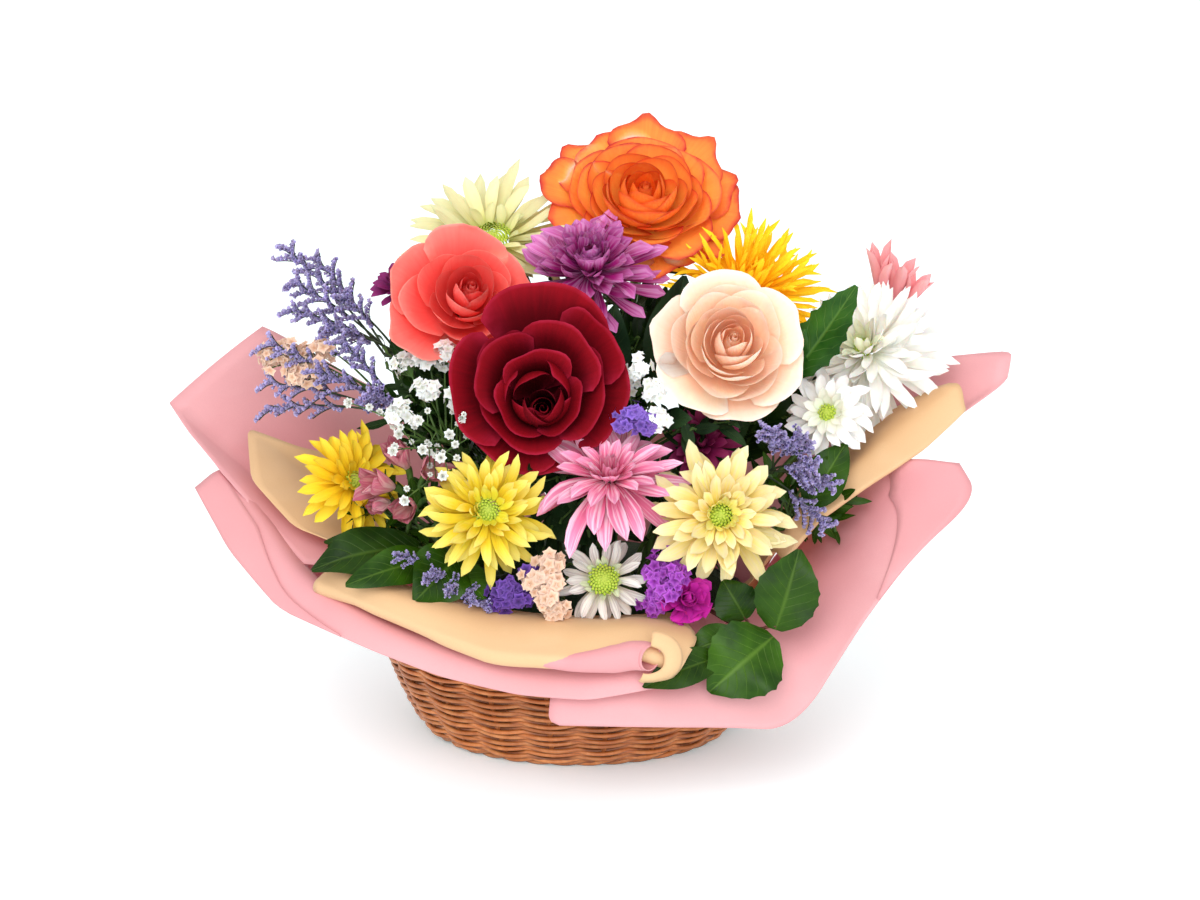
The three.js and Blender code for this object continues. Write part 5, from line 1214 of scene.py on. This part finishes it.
def fill(form, start, count, middle, half):
    for _ in range(count):
        end = np.array(middle) + rng.uniform(-1, 1, 3) * half
        parting = start[-1 - rng.integers(0, 8)]
        path = bow(parting, (parting * 0.4 + end * 0.6) + (0, 0, 8), end, np.linspace(0, 1, 8))
        form.tube(path, np.linspace(0.9, 0.4, 8), 5, 1, tone=rng.random())
        ahead = unit(path[-1] - path[-3])
        for k in TWIG_LEAF.at:
            side = unit(rng.normal(0, 1, 3) + ahead + (0, -0.3, 0.2))
            length = rng.uniform(*TWIG_LEAF.length)
            width = length * rng.uniform(*TWIG_LEAF.width)
            face = unit((0, -0.8, 0.6) + rng.normal(0, 0.4, 3))
            base = path[k] + side * TWIG_LEAF.stalk
            tip = path[k] + side * (TWIG_LEAF.stalk + length)
            leaf(form, path[k], base, tip, width, face, rng.uniform(-2, 3), 0, rows=8, columns=5)


def greens(name):
    shade, fork, leaves = GREENS[name]
    form = Form()
    start = leader(form, name, fork)
    if name in FILL:
        fill(form, start, *FILL[name])
    for n, (base, tip, width, face, arch, notch) in enumerate(leaves):
        leaf(form, start[-1 - n % 7], base, tip, width, face, arch, notch)
    stalk = BROWN_STALK if name == "leaves_front_right" else STALK
    form.make(name + "_foliage", [shade, stalk], [name])


# Building.

basket()
PAPER_LOOKS = {"pink": (PINK_PAPER, "paper_pink"), "beige": (BEIGE_PAPER, "paper_beige")}
for sheet_name in SHEETS:
    paper(sheet_name, *PAPER_LOOKS[sheet_name.split("_")[1]])

for flower, spec in ROSES.items():
    rose(flower)
    stem(flower, spec.at, spec.facing, ROSE_DEPTH * spec.height, STEM.thick)
for flower, (at, facing, radius, *_) in MUMS.items():
    mum(flower)
    if flower not in SMALL:
        stem(flower, at, facing, MUM_DEPTH * radius, STEM.slim)
for flower in HALF_BLOOMS:
    half_bloom(flower)
for spray_name in SPRAYS:
    spray(spray_name)
for green_name in GREENS:
    greens(green_name)

LINER = plain_shade("liner_film", (26, 30, 26), (44, 50, 42), 0.45, 90, bump=0.2)
FOAM = plain_shade("foam_block", (22, 46, 26), (44, 74, 40), 0.95, 900, bump=0.7, depth=0.8)
for node_name, shade in (("liner", LINER), ("foam", FOAM)):
    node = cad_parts[node_name]
    node.data.materials.clear()
    node.data.materials.append(shade)

# Floor, light and camera, in metres.

FLOOR = Sizes(half=40, glow=(0.7, 0.96, 1.0, 1.0), strength=0.22)
FILL_LIGHT = Sizes(at=(0.2, -1.6, 0.7), aim=(0, 0, 0.12), size=1.0, power=9)
SUN = Sizes(direction=(0.25, 0.85, -0.8), strength=1.05, softness=35)
WORLD_STRENGTH = 0.88

side = FLOOR.half
floor_mesh = bpy.data.meshes.new("floor")
corners = [(-side, -side, 0), (side, -side, 0), (side, side, 0), (-side, side, 0)]
floor_mesh.from_pydata(corners, [], [(0, 1, 2, 3)])
floor = bpy.data.objects.new("floor", floor_mesh)
bpy.context.collection.objects.link(floor)
floor_mesh.materials.append(plain_shade(
    "pale_floor", (247, 253, 253), (249, 254, 254), 0.9, 3, bump=0.0, vary=0.0,
    Emission_Color=FLOOR.glow, Emission_Strength=FLOOR.strength))

bpy.context.scene.view_settings.view_transform = "Standard"
world = bpy.data.worlds.new("studio")
bpy.context.scene.world = world
world.use_nodes = True
world.node_tree.nodes["Background"].inputs[0].default_value = (1, 1, 1, 1)
world.node_tree.nodes["Background"].inputs[1].default_value = WORLD_STRENGTH


def aim(thing, direction):
    thing.rotation_mode = "QUATERNION"
    thing.rotation_quaternion = Vector(direction).to_track_quat("-Z", "Y")
    bpy.context.collection.objects.link(thing)


fill_data = bpy.data.lights.new("fill", "AREA")
fill_data.size = FILL_LIGHT.size
fill_data.energy = FILL_LIGHT.power
fill_light = bpy.data.objects.new("fill", fill_data)
fill_light.location = FILL_LIGHT.at
aim(fill_light, Vector(FILL_LIGHT.aim) - Vector(FILL_LIGHT.at))

sun = bpy.data.lights.new("sun", "SUN")
sun.energy = SUN.strength
sun.angle = math.radians(SUN.softness)
aim(bpy.data.objects.new("sun", sun), SUN.direction)

elevation = math.radians(CAMERA.elevation)
middle = Vector(CAMERA.aim) / 1000
camera = bpy.data.objects.new("camera", bpy.data.cameras.new("camera"))
camera.location = middle + Vector((0, -math.cos(elevation), math.sin(elevation))) * (CAMERA.distance / 1000)
aim(camera, middle - camera.location)
camera.data.lens = CAMERA.lens
bpy.context.scene.camera = camera
